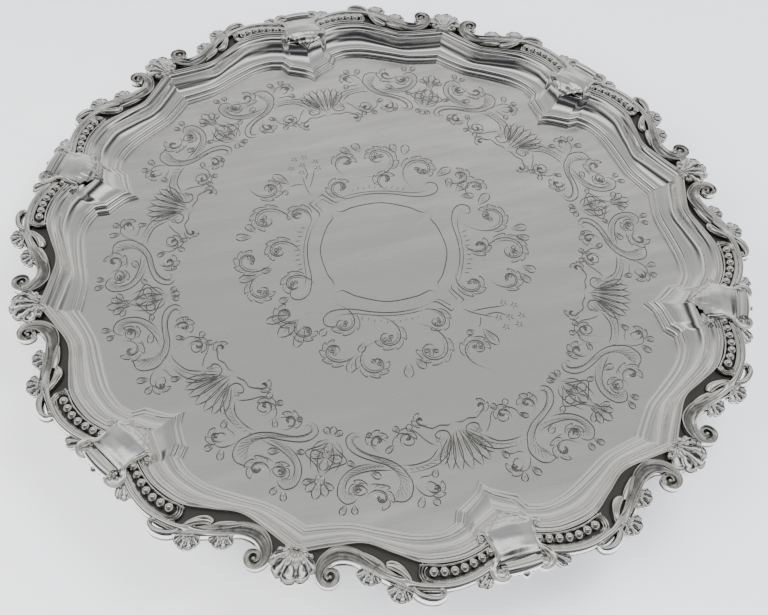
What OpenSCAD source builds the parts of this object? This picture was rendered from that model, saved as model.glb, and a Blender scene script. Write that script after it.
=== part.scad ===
// Six-lobed silver salver: a raised plate with a moulded rim, cast scroll and bead borders,
// scallop shells, plain cartouches and scroll feet.
// Millimetres, +Z up. The origin is on the table under the middle of the plate. A shell lies on +X.

/* [Plate] */
// From the middle of the plate to a corner of the flat field, which lies under a shell
corner_radius = 210; // [150:1:280]
// Thickness of the raised sheet
sheet = 1.5; // [1:0.1:2.5]
// From a corner of the field outward to the crest of the rim
rim_width = 24; // [20:0.5:30]
// From the field up to the crest
rim_height = 18; // [12:0.5:24]
// Width of the raised step next to the field, at a corner
step_width = 8; // [6:0.5:10]
// Height of the raised step above the field
step_height = 5; // [3:0.5:7]
// Height of the rim's turned-down edge, which the castings are soldered to
edge_height = 4.5; // [3.5:0.5:7]

/* [Border castings] */
// Thickness of the floor of the bead channel
floor_thickness = 1.6; // [1:0.1:2.2]
// From the crest down to the floor of the bead channel
channel_depth = 2.9; // [2.2:0.1:3.4]
// Thickness of the round rail and of the scroll's arm
rail_diameter = 4.2; // [3:0.1:4.6]
// Height of the leaves above the floor of the bead channel
leaf_height = 3.2; // [2:0.1:4]

/* [Beads] */
// Diameter of the largest bead
bead_diameter = 5.3; // [3.5:0.1:6.4]
// Diameter of the smallest bead, next to the cartouche
bead_small_diameter = 4.8; // [3:0.1:6.4]
// Gap between two of the largest beads
bead_gap = 0.2; // [0.1:0.1:3]
// Width of the strip that carries the beads
strip_width = 2.6; // [2:0.1:4]
// Thickness of the strip that carries the beads
strip_thickness = 0.8; // [0.5:0.1:1.2]

/* [Shells] */
// From a shell's hinge to its outer edge
shell_length = 21.5; // [17:0.5:25]
// Angle over which a shell's flutes fan out, to each side
shell_spread = 45; // [35:1:48]
// Number of flutes on a shell
flutes = 7; // [5:2:9]
// Height of a shell's dome above the floor of the bead channel
shell_height = 6.6; // [5:0.1:8]

/* [Cartouches] */
// Half of a shield's width at its waist
shield_half_width = 10.5; // [9:0.5:12]
// Thickness of the shield's edge
shield_thickness = 1.4; // [1:0.1:2]
// Rise of the shield's dome above its edge
shield_dome = 1.5; // [0.5:0.1:2.5]
// Diameter of the roll at the shield's outer end
roll_diameter = 5.2; // [4:0.1:6]

/* [Feet] */
// From the table up to the underside of the plate
foot_height = 22.5; // [15:0.5:35]
// Width of a foot
foot_width = 9; // [6:0.5:14]
// From the middle of the plate to the middle of a foot
foot_radius = 190; // [120:1:200]
// Thickness of the pad that joins a foot to the plate
pad_thickness = 1.5; // [1:0.1:3]

/* [Hidden] */
SECTORS = [0:5];
$fn = 32;

// The plan below is drawn for this corner radius, rim width and step width, and follows the real ones.
PLAN_RADIUS = 210;
PLAN_RIM = 24;
PLAN_STEP = 8;
plan_scale = corner_radius / PLAN_RADIUS;

field_z = foot_height + sheet;
crest_z = field_z + rim_height;
edge_z = crest_z - edge_height;
floor_z = crest_z - channel_depth;
rail_z = floor_z + rail_diameter * 0.55;
bead_pitch = bead_diameter + bead_gap;

silver = [0.78, 0.78, 0.77];
bright = [0.86, 0.86, 0.85];
dark = [0.62, 0.62, 0.61];

// ---- Plan of the left half of one lobe, from the cartouche's axis (+Y) to the shell's axis ----
// Edge of the flat field: a bracket point, a small shoulder, the round of the lobe and the corner.
FIELD = [
    [0, 182.9], [-4.6, 188.8], [-10.8, 192.7], [-19.8, 197.2], [-23.4, 204.4], [-33, 206.4],
    [-46.5, 203.8], [-63.6, 195.8], [-79.6, 187.6], [-93, 184.1], [-105, 181.87]
];
// Outer edge of the raised step.
STEP = [
    [0, 194], [-3.5, 197], [-8, 200], [-13.5, 203.6], [-17.8, 210.8], [-30.5, 213.8],
    [-48.5, 211.2], [-67, 202.8], [-82, 194.8], [-95, 191.2], [-109, 188.79]
];
// Crest of the rim.
CREST = [
    [0, 224], [-4, 224.8], [-8.5, 225.8], [-14, 227.4], [-19, 229], [-31.5, 230.8],
    [-50, 227.6], [-65, 217.5], [-79, 207.6], [-96, 204.6], [-117, 202.65]
];
// Outer edge of the casting's floor.
OUTER = [
    [0, 241], [-12, 240.5], [-21, 243], [-31.5, 245], [-42, 245], [-52, 243.5], [-60, 239.5],
    [-68.7, 233], [-77, 227], [-84.5, 220.5], [-91, 216], [-100, 214], [-110, 213], [-122, 211.31]
];
// Middle of the rail, which becomes the arm of the scroll and ends in its volute.
ARM = [
    [-10.5, 236.4], [-21, 240.9], [-31.5, 243], [-42, 242.9], [-54, 239.8], [-69, 231.6], [-81.5, 218.3],
    [-88, 211.9], [-95.5, 209.4], [-102.2, 211], [-106.4, 215], [-107.8, 219], [-106.6, 222.6],
    [-103.3, 224.3], [-100.2, 222.9]
];
VOLUTE_EYE = [-103.4, 220.7];
// Middle of the bead strip.
BEAD_LINE = [[-12.8, 230.7], [-24, 234.1], [-36, 235.7], [-50.4, 232.6]];
ACANTHUS = [
    [-86, 211.5], [-91.5, 216.5], [-90, 223.5], [-85.5, 224], [-84.5, 227.5], [-81.5, 228.5], [-80, 234],
    [-76.8, 233.5], [-75.8, 236.6], [-73.5, 237.5], [-71, 242.2], [-67, 241.5], [-65.3, 244], [-61, 245.8],
    [-56, 246.6], [-50, 249.2], [-44, 248.9], [-40.5, 246.6], [-42, 243.6], [-52, 240.5], [-60, 236],
    [-70, 228], [-80, 219]
];
SMALL_LEAF = [[-18.5, 239], [-30, 242.5], [-32.5, 246], [-28, 250.6], [-22, 249], [-18.5, 244]];
// A middle line with a width at each point.
TONGUE_LEAF = [[-85.5, 209.5, 2.6], [-80, 213.5, 5.2], [-75, 219, 4.8], [-71.5, 223, 2]];
INNER_LEAF = [[-70, 221.5, 2], [-65.5, 224.5, 5], [-62, 229.5, 6], [-60, 235, 5]];
CHANNEL_END = [[-50, 228.2, 1.2], [-54.4, 230.2, 1.8], [-55.4, 234.2, 1.8], [-52.6, 237.8, 1.2]];

// ---- Sections ----
// Part of the step's width, and part of its height.
STEP_SECTION = [[0, 0], [0.1, 0.5], [0.32, 0.88], [0.58, 1], [0.68, 0.92], [1, 1.14]];
// Part of the width from the step to the crest, and part of the rise from the step to the crest.
HOLLOW_SECTION = [[0.22, 0.05], [0.44, 0.2], [0.62, 0.45], [0.74, 0.74], [0.8, 0.86], [0.9, 0.88], [1, 1]];
// The same two sections for the underside, which follows them one sheet lower.
UNDER_HOLLOW = [[1, 1], [0.74, 0.6], [0.5, 0.25], [0.15, 0.04]];
UNDER_STEP = [[0.62, 0.9], [0.18, 0]];

// ---- Functions ----
function mix(a, b, t) = a * (1 - t) + b * t;
function curve_point(a, b, c, d, t) =
    0.5 * (2 * b + (c - a) * t + (2 * a - 5 * b + 4 * c - d) * t * t + (3 * b - 3 * c + d - a) * t * t * t);
// Smooth curve through the points p, with the given number of steps in each span.
function smooth(p, steps) = [
    for (i = [0 : len(p) - 2], k = [0 : steps - 1])
        curve_point(p[max(i - 1, 0)], p[i], p[i + 1], p[min(i + 2, len(p) - 1)], k / steps),
    p[len(p) - 1]
];
function part(p, first, last) = [for (i = [first : last]) p[i]];
function backwards(p) = [for (i = [len(p) - 1 : -1 : 0]) p[i]];
// A half lobe keeps its corner at each end of the shoulder.
function half_lobe(p) = concat(
    part(p, 0, 2),
    [p[3]],
    smooth(part(p, 4, len(p) - 1), 2)
);
// A plan point scaled with the plate, then moved outward by grow.
function planned(p, grow) = let (q = [p.x, p.y]) q * plan_scale + grow * q / norm(q);
function field_xy(p) = planned(p, 0);
function step_xy(p) = planned(p, step_width - PLAN_STEP);
function border_xy(p) = planned(p, rim_width - PLAN_RIM);
function border_path(p) = [for (q = p) border_xy(q)];
function direction(p, i) = let (d = p[min(i + 1, len(p) - 1)] - p[max(i - 1, 0)]) [d.x, d.y] / norm([d.x, d.y]);
function side(p, i, off) = let (d = direction(p, i)) [p[i].x - d.y * off, p[i].y + d.x * off];
// Outline of a ribbon whose middle line is p, with the width in each point's third number.
function ribbon(p) = concat(
    [for (i = [0 : len(p) - 1]) side(p, i, p[i].z / 2)],
    [for (i = [len(p) - 1 : -1 : 0]) side(p, i, -p[i].z / 2)]
);
function with_widths(p) = [for (q = p) let (xy = border_xy(q)) [xy.x, xy.y, q.z]];
function run_length(p, last) = last <= 0 ? 0 : norm(p[last] - p[last - 1]) + run_length(p, last - 1);
// The point a distance s along p.
function along(p, s, i = 0) =
    let (d = norm(p[i + 1] - p[i]))
    s <= d || i == len(p) - 2 ? mix(p[i], p[i + 1], s / d) : along(p, s - d, i + 1);

field_line = [for (p = half_lobe(FIELD)) field_xy(p)];
step_line = [for (p = half_lobe(STEP)) step_xy(p)];
crest_line = [for (p = half_lobe(CREST)) border_xy(p)];
// The crest's y at a distance x from the cartouche's axis.
function crest_y(x) = lookup(x, [for (p = crest_line) [-p.x, p.y]]);

// ---- Placing ----
module sector(k) rotate(60 * k - 60) children();
module on_left(k) sector(k) children();
module on_right(k) sector(k) mirror([1, 0, 0]) children();
module on_shell_axis(k) rotate(60 * k - 90) children();

// ---- Plate ----
// The whole ring of points made from a half lobe, counter-clockwise.
function whole_ring(half, z) =
    let (last = len(half) - 1)
    [
        for (k = SECTORS, i = [0 : 2 * last - 1])
            let (
                p = i < last ? [-half[last - i].x, half[last - i].y] : half[i - last],
                a = 60 * k - 60
            )
            [p.x * cos(a) - p.y * sin(a), p.x * sin(a) + p.y * cos(a), z]
    ];
function blend_lines(a, b, t) = [for (i = [0 : len(a) - 1]) mix(a[i], b[i], t)];
function step_ring(s, drop) = whole_ring(
    blend_lines(field_line, step_line, s[0]),
    field_z + s[1] * step_height - drop
);
function hollow_ring(s, drop) = whole_ring(
    blend_lines(step_line, crest_line, s[0]),
    mix(field_z + 1.14 * step_height, crest_z, s[1]) - drop
);

module plate() {
    rings = concat(
        [for (s = STEP_SECTION) step_ring(s, 0)],
        [for (s = HOLLOW_SECTION) hollow_ring(s, 0)],
        [whole_ring(crest_line, edge_z)],
        [for (i = [1 : len(UNDER_HOLLOW) - 1]) hollow_ring(UNDER_HOLLOW[i], 1.35 * sheet)],
        [for (s = UNDER_STEP) step_ring(s, sheet)]
    );
    n = len(rings[0]);
    last = len(rings) - 1;
    color(silver)
        polyhedron(
            points = [for (r = rings) each r],
            faces = concat(
                [[for (j = [n - 1 : -1 : 0]) j]],
                [
                    for (i = [0 : last - 1], j = [0 : n - 1])
                        let (a = i * n + j, b = i * n + (j + 1) % n)
                        each [[a, b, b + n], [a, b + n, a + n]]
                ],
                [[for (j = [0 : n - 1]) last * n + j]]
            )
        );
}

// ---- Border castings ----
// A rod of round section along p, standing on its side, with the given radii at its two ends.
module rod(p, z, r_start, r_end, sides = 6) {
    last = len(p) - 1;
    color(silver)
        polyhedron(
            points = [
                for (i = [0 : last], j = [0 : sides - 1])
                    let (
                        a = 360 * (j + 0.5) / sides,
                        r = mix(r_start, r_end, i / last),
                        q = side(p, i, r * cos(a))
                    )
                    [q.x, q.y, z + r * sin(a)]
            ],
            faces = concat(
                [[for (j = [0 : sides - 1]) j]],
                [
                    for (i = [0 : last - 1], j = [0 : sides - 1])
                        let (a = i * sides + j, b = i * sides + (j + 1) % sides)
                        each [[a, a + sides, b], [b, a + sides, b + sides]]
                ],
                [[for (j = [sides - 1 : -1 : 0]) last * sides + j]]
            )
        );
}

module slab(outline, z, height) color(silver) translate([0, 0, z]) linear_extrude(height) polygon(outline);

// Left-handed casting of the lobe whose cartouche is on +Y.
module border_casting() {
    outer_line = border_path(smooth(OUTER, 2));
    foundation = floor_thickness * 0.6;
    slab(concat(crest_line, backwards(outer_line)), floor_z - floor_thickness, floor_thickness);
    slab(border_path(ACANTHUS), floor_z - foundation, leaf_height + foundation);
    slab(border_path(SMALL_LEAF), floor_z - foundation, leaf_height + foundation);
    slab(ribbon(with_widths(smooth(TONGUE_LEAF, 3))), floor_z - foundation, leaf_height * 0.8 + foundation);
    slab(ribbon(with_widths(smooth(INNER_LEAF, 3))), floor_z - foundation, leaf_height + foundation);
    slab(ribbon(with_widths(smooth(CHANNEL_END, 3))), floor_z - foundation, leaf_height * 0.6 + foundation);
    rod(border_path(smooth(ARM, 2)), rail_z, rail_diameter / 2, rail_diameter * 0.36);
    eye = border_xy(VOLUTE_EYE);
    color(silver)
        translate([eye.x, eye.y, floor_z - floor_thickness])
            cylinder(r1 = 5, r2 = 4, h = channel_depth + floor_thickness);
}

// ---- Beads ----
// Left-handed strip with its beads, as many as the channel holds.
module bead_strip() {
    line = border_path(smooth(BEAD_LINE, 4));
    length = run_length(line, len(line) - 1);
    count = floor((length - bead_small_diameter) / bead_pitch) + 1;
    start = (length - (count - 1) * bead_pitch) / 2;
    color(bright) {
        translate([0, 0, floor_z])
            linear_extrude(strip_thickness)
                polygon(ribbon([for (p = line) [p.x, p.y, strip_width]]));
        for (i = [0 : count - 1]) {
            d = mix(bead_small_diameter, bead_diameter, i / (count - 1));
            p = along(line, start + i * bead_pitch);
            translate([p.x, p.y, floor_z + strip_thickness * 0.4 + d * 0.45]) sphere(d = d);
        }
    }
}

// ---- Shells ----
// Scallop shell on +Y. Its flutes fan out from the hinge and it domes up between hinge and edge.
module shell_casting() {
    per_flute = 4;
    columns = flutes * per_flute;
    rows = [0, 0.25, 0.5, 0.75, 0.92, 1];
    dome = [0.5, 0.8, 1, 0.96, 0.8, 0.55];
    hinge_radius = 3;
    hinge_y = corner_radius + rim_width - 3.2;
    function flute(c) = -cos(360 * c / per_flute);
    function reach(a, c) = (shell_length - 7 * pow(a / shell_spread, 2)) + 0.7 * flute(c);
    function at(c, v) =
        let (a = mix(-shell_spread, shell_spread, c / columns), r = mix(hinge_radius, reach(a, c), v))
        [r * sin(a), hinge_y + r * cos(a)];
    stride = columns + 1;
    count = len(rows) * stride;
    top = [
        for (i = [0 : len(rows) - 1], c = [0 : columns])
            let (p = at(c, rows[i])) [p.x, p.y, floor_z + shell_height * dome[i] + 0.45 * flute(c) * rows[i]]
    ];
    base = [for (i = [0 : len(rows) - 1], c = [0 : columns]) let (p = at(c, rows[i])) [p.x, p.y, floor_z]];
    rim = concat(
        [for (c = [0 : columns]) c],
        [for (i = [1 : len(rows) - 1]) i * stride + columns],
        [for (c = [columns - 1 : -1 : 0]) (len(rows) - 1) * stride + c],
        [for (i = [len(rows) - 2 : -1 : 1]) i * stride]
    );
    color(bright) {
        polyhedron(
            points = concat(top, base),
            faces = concat(
                [
                    for (i = [0 : len(rows) - 2], c = [0 : columns - 1])
                        let (a = i * stride + c, b = a + stride)
                        each [[a, b, a + 1], [a + 1, b, b + 1]]
                ],
                [
                    for (i = [0 : len(rim) - 1])
                        let (a = rim[i], b = rim[(i + 1) % len(rim)])
                        each [[a, b, b + count], [a, b + count, a + count]]
                ],
                [[for (i = [0 : len(rim) - 1]) rim[i] + count]]
            )
        );
        // Knob at the hinge.
        translate([0, hinge_y + 1.5, floor_z + shell_height * 0.5]) sphere(d = shell_height * 0.98);
    }
}

// ---- Cartouches ----
// Part of the shield's half width and underside height above the crest, at distances from its point.
SHIELD_ROWS = [
    [0, 0.04, -4.4], [2.2, 0.36, -2.6], [5.4, 0.86, -0.5], [8.6, 1.1, 0.6], [12, 1.04, 1.1],
    [18, 0.97, 1.4], [25, 1, 1.5], [31.5, 1.06, 1.5]
];
SHIELD_POINT_Y = 211.4;

module cartouche() {
    across = [-1, -0.6, 0, 0.6, 1];
    point_y = border_xy([0, SHIELD_POINT_Y]).y;
    stride = len(across);
    rows = len(SHIELD_ROWS);
    count = rows * stride;
    function at(i, c, rise) = [
        across[c] * SHIELD_ROWS[i][1] * shield_half_width,
        point_y + SHIELD_ROWS[i][0],
        crest_z + SHIELD_ROWS[i][2] + rise
    ];
    top = [
        for (i = [0 : rows - 1], c = [0 : stride - 1])
            at(i, c, shield_thickness + shield_dome * (1 - pow(across[c], 2)) * min(1, SHIELD_ROWS[i][0] / 8))
    ];
    base = [for (i = [0 : rows - 1], c = [0 : stride - 1]) at(i, c, 0)];
    rim = concat(
        [for (c = [0 : stride - 1]) c],
        [for (i = [1 : rows - 1]) i * stride + stride - 1],
        [for (c = [stride - 2 : -1 : 0]) (rows - 1) * stride + c],
        [for (i = [rows - 2 : -1 : 1]) i * stride]
    );
    back_y = point_y + SHIELD_ROWS[rows - 1][0];
    roll_z = crest_z + roll_diameter / 2 - 0.4;
    front_y = crest_y(shield_half_width) - 0.3;
    color(bright) {
        polyhedron(
            points = concat(top, base),
            faces = concat(
                [
                    for (i = [0 : rows - 2], c = [0 : stride - 2])
                        let (a = i * stride + c, b = a + stride)
                        each [[a, b, a + 1], [a + 1, b, b + 1], [a + count, a + 1 + count, b + count],
                            [a + 1 + count, b + 1 + count, b + count]]
                ],
                [
                    for (i = [0 : len(rim) - 1])
                        let (a = rim[i], b = rim[(i + 1) % len(rim)])
                        each [[a, b, b + count], [a, b + count, a + count]]
                ]
            )
        );
        // Block under the shield, standing on the floors of both castings.
        translate([-shield_half_width, front_y, floor_z])
            cube([2 * shield_half_width, back_y - front_y, crest_z + 2 - floor_z]);
        // Roll at the outer end, its two volutes and the ball between them.
        translate([0, back_y + 1, roll_z])
            rotate([0, 90, 0]) cylinder(d = roll_diameter, h = 2 * shield_half_width, center = true);
        for (x = [-1, 1])
            translate([x * shield_half_width, back_y + 1, roll_z])
                rotate([0, 90, 0]) cylinder(d = roll_diameter + 1.2, h = 2.6, center = true);
        translate([0, back_y + roll_diameter / 2 + 1.8, roll_z]) sphere(d = roll_diameter * 0.8);
        // Curls beside the inner end.
        for (x = [-1, 1])
            translate([x * (shield_half_width + 1.6), point_y + 10.4, crest_z + 2]) sphere(d = 3.4);
    }
}

// ---- Feet ----
// Cast scroll foot on +Y: an S-scroll from the pad down to a volute, worn flat where it stands.
module foot() {
    volute_radius = 4.6;
    worn = 0.7;
    volute_z = volute_radius - worn;
    rise = foot_height - pad_thickness;
    scroll = [
        [-9, rise - 1, 5], [-3, rise * 0.86, 5], [3.4, rise * 0.66, 4.8], [7.2, rise * 0.44, 4.4],
        [7.4, rise * 0.26, 4], [4.6, volute_z + 0.6, 4]
    ];
    color(dark)
        translate([0, foot_radius, 0])
            intersection() {
                union() {
                    translate([0, 0, foot_height - pad_thickness]) cylinder(r = 11, h = pad_thickness);
                    rotate([90, 0, 90])
                        linear_extrude(foot_width, center = true) polygon(ribbon(smooth(scroll, 4)));
                    translate([0, 4, volute_z])
                        rotate([0, 90, 0]) cylinder(r = volute_radius, h = foot_width + 1.6, center = true);
                }
                translate([-20, -20, 0]) cube([40, 40, foot_height]);
            }
}

plate();
for (k = SECTORS) {
    on_left(k) border_casting();
    on_right(k) border_casting();
    on_left(k) bead_strip();
    on_right(k) bead_strip();
    on_shell_axis(k) shell_casting();
    sector(k) cartouche();
    on_shell_axis(k) foot();
}
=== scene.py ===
"""A six-lobed silver salver: raised and engraved plate, cast scroll and bead borders, scallop shells,
plain shield cartouches and scroll feet. Lengths in the code are millimetres; meshes are made in metres."""

import functools
import math

import bpy
import numpy as np
from bpy.props import FloatProperty, FloatVectorProperty, IntProperty, PointerProperty
from mathutils import Matrix, Vector
from mathutils.geometry import delaunay_2d_cdt


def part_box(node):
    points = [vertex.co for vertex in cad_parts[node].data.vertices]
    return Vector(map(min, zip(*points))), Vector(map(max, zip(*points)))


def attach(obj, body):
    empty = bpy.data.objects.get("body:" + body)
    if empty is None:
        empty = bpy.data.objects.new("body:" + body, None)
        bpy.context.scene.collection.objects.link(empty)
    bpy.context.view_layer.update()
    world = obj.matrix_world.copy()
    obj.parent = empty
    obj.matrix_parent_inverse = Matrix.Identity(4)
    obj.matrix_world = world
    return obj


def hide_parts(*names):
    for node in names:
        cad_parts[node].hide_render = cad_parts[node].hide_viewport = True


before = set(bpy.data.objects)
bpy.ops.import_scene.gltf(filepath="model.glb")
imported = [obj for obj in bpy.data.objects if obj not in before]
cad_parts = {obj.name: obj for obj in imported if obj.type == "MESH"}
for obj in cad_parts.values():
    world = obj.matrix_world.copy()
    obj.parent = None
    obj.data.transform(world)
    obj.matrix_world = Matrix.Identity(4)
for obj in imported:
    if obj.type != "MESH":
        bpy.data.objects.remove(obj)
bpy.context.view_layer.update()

bl_info = {
    "name": "Silver Salver",
    "version": (1, 0, 0),
    "blender": (4, 5, 0),
    "location": "3D View > Sidebar > Salver",
    "description": "Makes a six-lobed engraved silver salver with cast borders",
    "category": "Mesh",
}

MM = 0.001
BODY = "root"
LOBES = 6
PITCH = 360 / LOBES

# Heights come from the solids: crest of the rim, underside of the plate, floor and underside of the castings.
CREST_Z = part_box("plate")[1].z / MM
UNDER_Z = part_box("plate")[0].z / MM
FLOOR_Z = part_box("beads_left_1")[0].z / MM
CASTING_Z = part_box("border_left_1")[0].z / MM


# ---------------------------------------------------------------- sizes and colours


def hex_to_linear(text):
    """An sRGB hex colour as linear red, green and blue."""
    srgb = np.array([int(text[i : i + 2], 16) for i in (1, 3, 5)]) / 255.0
    return tuple(np.where(srgb <= 0.04045, srgb / 12.92, ((srgb + 0.055) / 1.055) ** 2.4))


def length(name, default, description):
    return FloatProperty(name=name, description=description, default=default * MM, unit="LENGTH")


def colour(name, default, description):
    linear = hex_to_linear(default)
    return FloatVectorProperty(name=name, description=description, default=linear, subtype="COLOR")


class SalverSizes(bpy.types.PropertyGroup):
    """Sizes a maker would change."""

    sheet: length("Sheet", 1.5, "Thickness of the raised sheet")
    rail: length("Rail", 4.2, "Height of the rail outside the beads")
    bead_large: length("Largest bead", 5.4, "Diameter of the bead next to the scroll")
    bead_small: length("Smallest bead", 4.9, "Diameter of the bead next to the cartouche")
    beads: IntProperty(name="Beads", description="Beads in one strip", default=7, min=2)
    flutes: IntProperty(name="Flutes", description="Scooped flutes on a shell", default=5, min=3)
    line: length("Engraved line", 0.95, "Width of a full engraved line")


class SalverColours(bpy.types.PropertyGroup):
    """Colours of the silver, of the dark sulphide and painted shade in its recesses and of the table."""

    silver: colour("Silver", "#F0EFEB", "Polished sterling silver")
    worn: colour("Worn silver", "#DDDCD6", "Silver dulled by handling and polishing")
    # Tarnish and painted shade: this one dark colour fills the recesses, both as sulphide and as the shade that
    # falls there.
    tarnish_and_shade: colour("Tarnish", "#2A2620", "Dark sulphide left in the recesses")
    table: colour("Table", "#E2E4E8", "Pale table under the salver")


# ---------------------------------------------------------------- curves and surfaces


def smooth(points, steps):
    """Catmull-Rom curve through the points: the cubic on each span whose slope at a point is half the step
    between the point's neighbours. Each span gets `steps` samples."""
    p = np.asarray(points, float)
    q = np.vstack([p[:1], p, p[-1:]])
    a, b, c, d = (q[i : len(q) - 3 + i, None, :] for i in range(4))
    t = (np.arange(steps) / steps)[None, :, None]
    cubic = 2 * b + (c - a) * t + (2 * a - 5 * b + 4 * c - d) * t**2 + (3 * b - 3 * c + d - a) * t**3
    return np.vstack([0.5 * cubic.reshape(-1, p.shape[1]), p[-1:]])


def run_lengths(path):
    """Running length along a path, from its first two columns."""
    steps = np.linalg.norm(np.diff(path[:, :2], axis=0), axis=1)
    return np.concatenate([[0], np.cumsum(steps)])


def evenly(path, count):
    """`count` points at equal distances along a path."""
    run = run_lengths(path)
    at = np.linspace(0, run[-1], count)
    return np.stack([np.interp(at, run, path[:, i]) for i in range(path.shape[1])], axis=1)


def unit(v):
    return v / np.maximum(np.linalg.norm(v, axis=-1, keepdims=True), 1e-12)


def at_height(plan, z):
    """Plan points with their height, or heights, added."""
    return np.column_stack([plan, np.broadcast_to(z, len(plan))])


def polar(degrees, distance):
    return distance * np.array([math.cos(math.radians(degrees)), math.sin(math.radians(degrees))])


def lobe_turn(k):
    """How far lobe k is turned about +Z from the one on +Y, in degrees."""
    return PITCH * (k - 1)


def turned(points, degrees):
    """Points turned about +Z."""
    a = math.radians(degrees)
    out = np.array(points, float)
    x, y = points[..., 0], points[..., 1]
    out[..., 0] = x * math.cos(a) - y * math.sin(a)
    out[..., 1] = x * math.sin(a) + y * math.cos(a)
    return out


def keyed(keys, at):
    """Smoothly joined values: keys are (place, value, ...) rows and `at` the places wanted, with an S-shaped
    blend, 3t^2 - 2t^3, between neighbouring rows."""
    keys = np.asarray(keys, float)
    at = np.asarray(at, float)
    i = np.clip(np.searchsorted(keys[:, 0], at, side="right") - 1, 0, len(keys) - 2)
    t = np.clip((at - keys[i, 0]) / (keys[i + 1, 0] - keys[i, 0]), 0, 1)
    t = (t * t * (3 - 2 * t))[..., None]
    out = keys[i, 1:] * (1 - t) + keys[i + 1, 1:] * t
    return out[..., 0] if keys.shape[1] == 2 else out


def spiral(centre, radii, start, turn, count):
    """Plan spiral: its radius changes evenly from the first of `radii` to the second while its angle goes
    `turn` degrees on from `start`."""
    t = np.linspace(0, 1, count)
    r = radii[0] * (1 - t) + radii[1] * t
    a = np.radians(start + turn * t)
    return np.stack([centre[0] + r * np.cos(a), centre[1] + r * np.sin(a)], axis=1)


def bezier(points, t):
    """Quadratic curve from the first point to the third, pulled toward the second, at the parts t of it."""
    a, b, c = (np.asarray(p, float) for p in points)
    t = np.asarray(t)[:, None]
    return a * (1 - t) ** 2 + 2 * b * t * (1 - t) + c * t**2


def grid_faces(rows, columns, around=False, along=False):
    """Quads of a grid of rows by columns, closed around its columns or along its rows if asked."""
    i = np.arange(rows if along else rows - 1)[:, None]
    j = np.arange(columns if around else columns - 1)[None, :]
    i2, j2 = (i + 1) % rows, (j + 1) % columns
    corners = [i * columns + j, i * columns + j2, i2 * columns + j2, i2 * columns + j]
    return np.stack(corners, axis=-1).reshape(-1, 4)


def grid_outline(rows, columns):
    """Numbers of the vertices round the outside of a grid."""
    index = np.arange(rows * columns).reshape(rows, columns)
    return np.concatenate([index[0, ::-1], index[1:, 0], index[-1, 1:], index[-2:0:-1, -1]])


def end_fan(middle, start, n):
    """Triangles from a middle vertex to the ring of n vertices that begins at `start`."""
    j = np.arange(n)
    return np.stack([np.full(n, middle), start + j, start + (j + 1) % n], axis=1)


WELD = 1e-3


class Shape:
    """Vertices and faces gathered from several surfaces, which become one mesh."""

    def __init__(self):
        self.vertices, self.faces, self.count = [], [], 0

    def add(self, vertices, faces):
        vertices = np.asarray(vertices, float).reshape(-1, 3)
        self.vertices.append(vertices)
        for block in faces if isinstance(faces, list) else [faces]:
            self.faces.append(np.asarray(block, int) + self.count)
        self.count += len(vertices)
        return self

    def points(self):
        return np.vstack(self.vertices)

    def placed(self, degrees, mirror=False, shift=(0, 0, 0)):
        """A copy, mirrored in x if asked, turned about +Z and shifted. A mirrored copy's faces run the other
        way round, so that they still point outwards."""
        other = Shape()
        points = self.points() * ((-1, 1, 1) if mirror else (1, 1, 1))
        other.vertices = [turned(points, degrees) + np.array(shift, float)]
        other.faces = [f[:, ::-1] if mirror else f for f in self.faces]
        other.count = self.count
        return other

    def join(self, other):
        self.vertices.append(other.points())
        self.faces += [f + self.count for f in other.faces]
        self.count += other.count
        return self

    def welded(self):
        """A copy in which vertices nearer than WELD are one, without the faces that vanish."""
        p = self.points()
        cells = np.round(p / WELD).astype(np.int64)
        _, first, where = np.unique(cells, axis=0, return_index=True, return_inverse=True)
        where = where.reshape(-1)
        blocks = []
        for f in self.faces:
            g = where[f]
            keep = (g != np.roll(g, -1, axis=1)).all(axis=1)
            blocks.append(g[keep])
        return Shape().add(p[first], blocks)


def loft(shape, rings):
    """Skins a row of closed rings and closes both ends with a fan to the ring's middle. A ring runs
    counter-clockwise as seen from the last ring."""
    rows, n = rings.shape[:2]
    vertices = np.vstack([rings.reshape(-1, 3), rings[0].mean(0), rings[-1].mean(0)])
    start = end_fan(rows * n, 0, n)[:, [0, 2, 1]]
    end = end_fan(rows * n + 1, (rows - 1) * n, n)
    return shape.add(vertices, [grid_faces(rows, n, around=True), start, end])


def sweep(shape, path, width, height, section, out=(0, 0, 1)):
    """Carries a closed section along a path. At each point the section's first number, times `width`, goes
    to the path's left and its second, times `height`, goes along `out`."""
    path = np.asarray(path, float)
    n = len(path)
    out = np.asarray(out, float)
    across = unit(np.cross(np.broadcast_to(out, path.shape), unit(np.gradient(path, axis=0))))
    section = np.broadcast_to(section, (n,) + np.shape(section)[-2:])
    width = np.broadcast_to(width, (n,))[:, None]
    height = np.broadcast_to(height, (n,))[:, None]
    rings = (
        path[:, None, :]
        + across[:, None, :] * (section[:, :, 0] * width)[..., None]
        + out * (section[:, :, 1] * height)[..., None]
    )
    return loft(shape, rings)


def revolve(shape, centre, profile, sides=24):
    """Turns a profile of (radius, height) rows about +Z. The profile runs from the axis below to the axis
    above, and each end is one vertex."""
    profile = np.asarray(profile, float)
    a = np.arange(sides) * 2 * math.pi / sides
    ring = np.stack([np.cos(a), np.sin(a), np.zeros(sides)], axis=1)
    radii, heights = profile[1:-1, 0], profile[1:-1, 1]
    rings = ring[None] * radii[:, None, None] + np.array([0, 0, 1.0]) * heights[:, None, None]
    rows = len(rings)
    vertices = np.vstack([rings.reshape(-1, 3), [[0, 0, profile[0, 1]], [0, 0, profile[-1, 1]]]])
    low = end_fan(rows * sides, 0, sides)[:, [0, 2, 1]]
    high = end_fan(rows * sides + 1, (rows - 1) * sides, sides)
    return shape.add(vertices + np.asarray(centre, float), [grid_faces(rows, sides, around=True), low, high])


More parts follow.
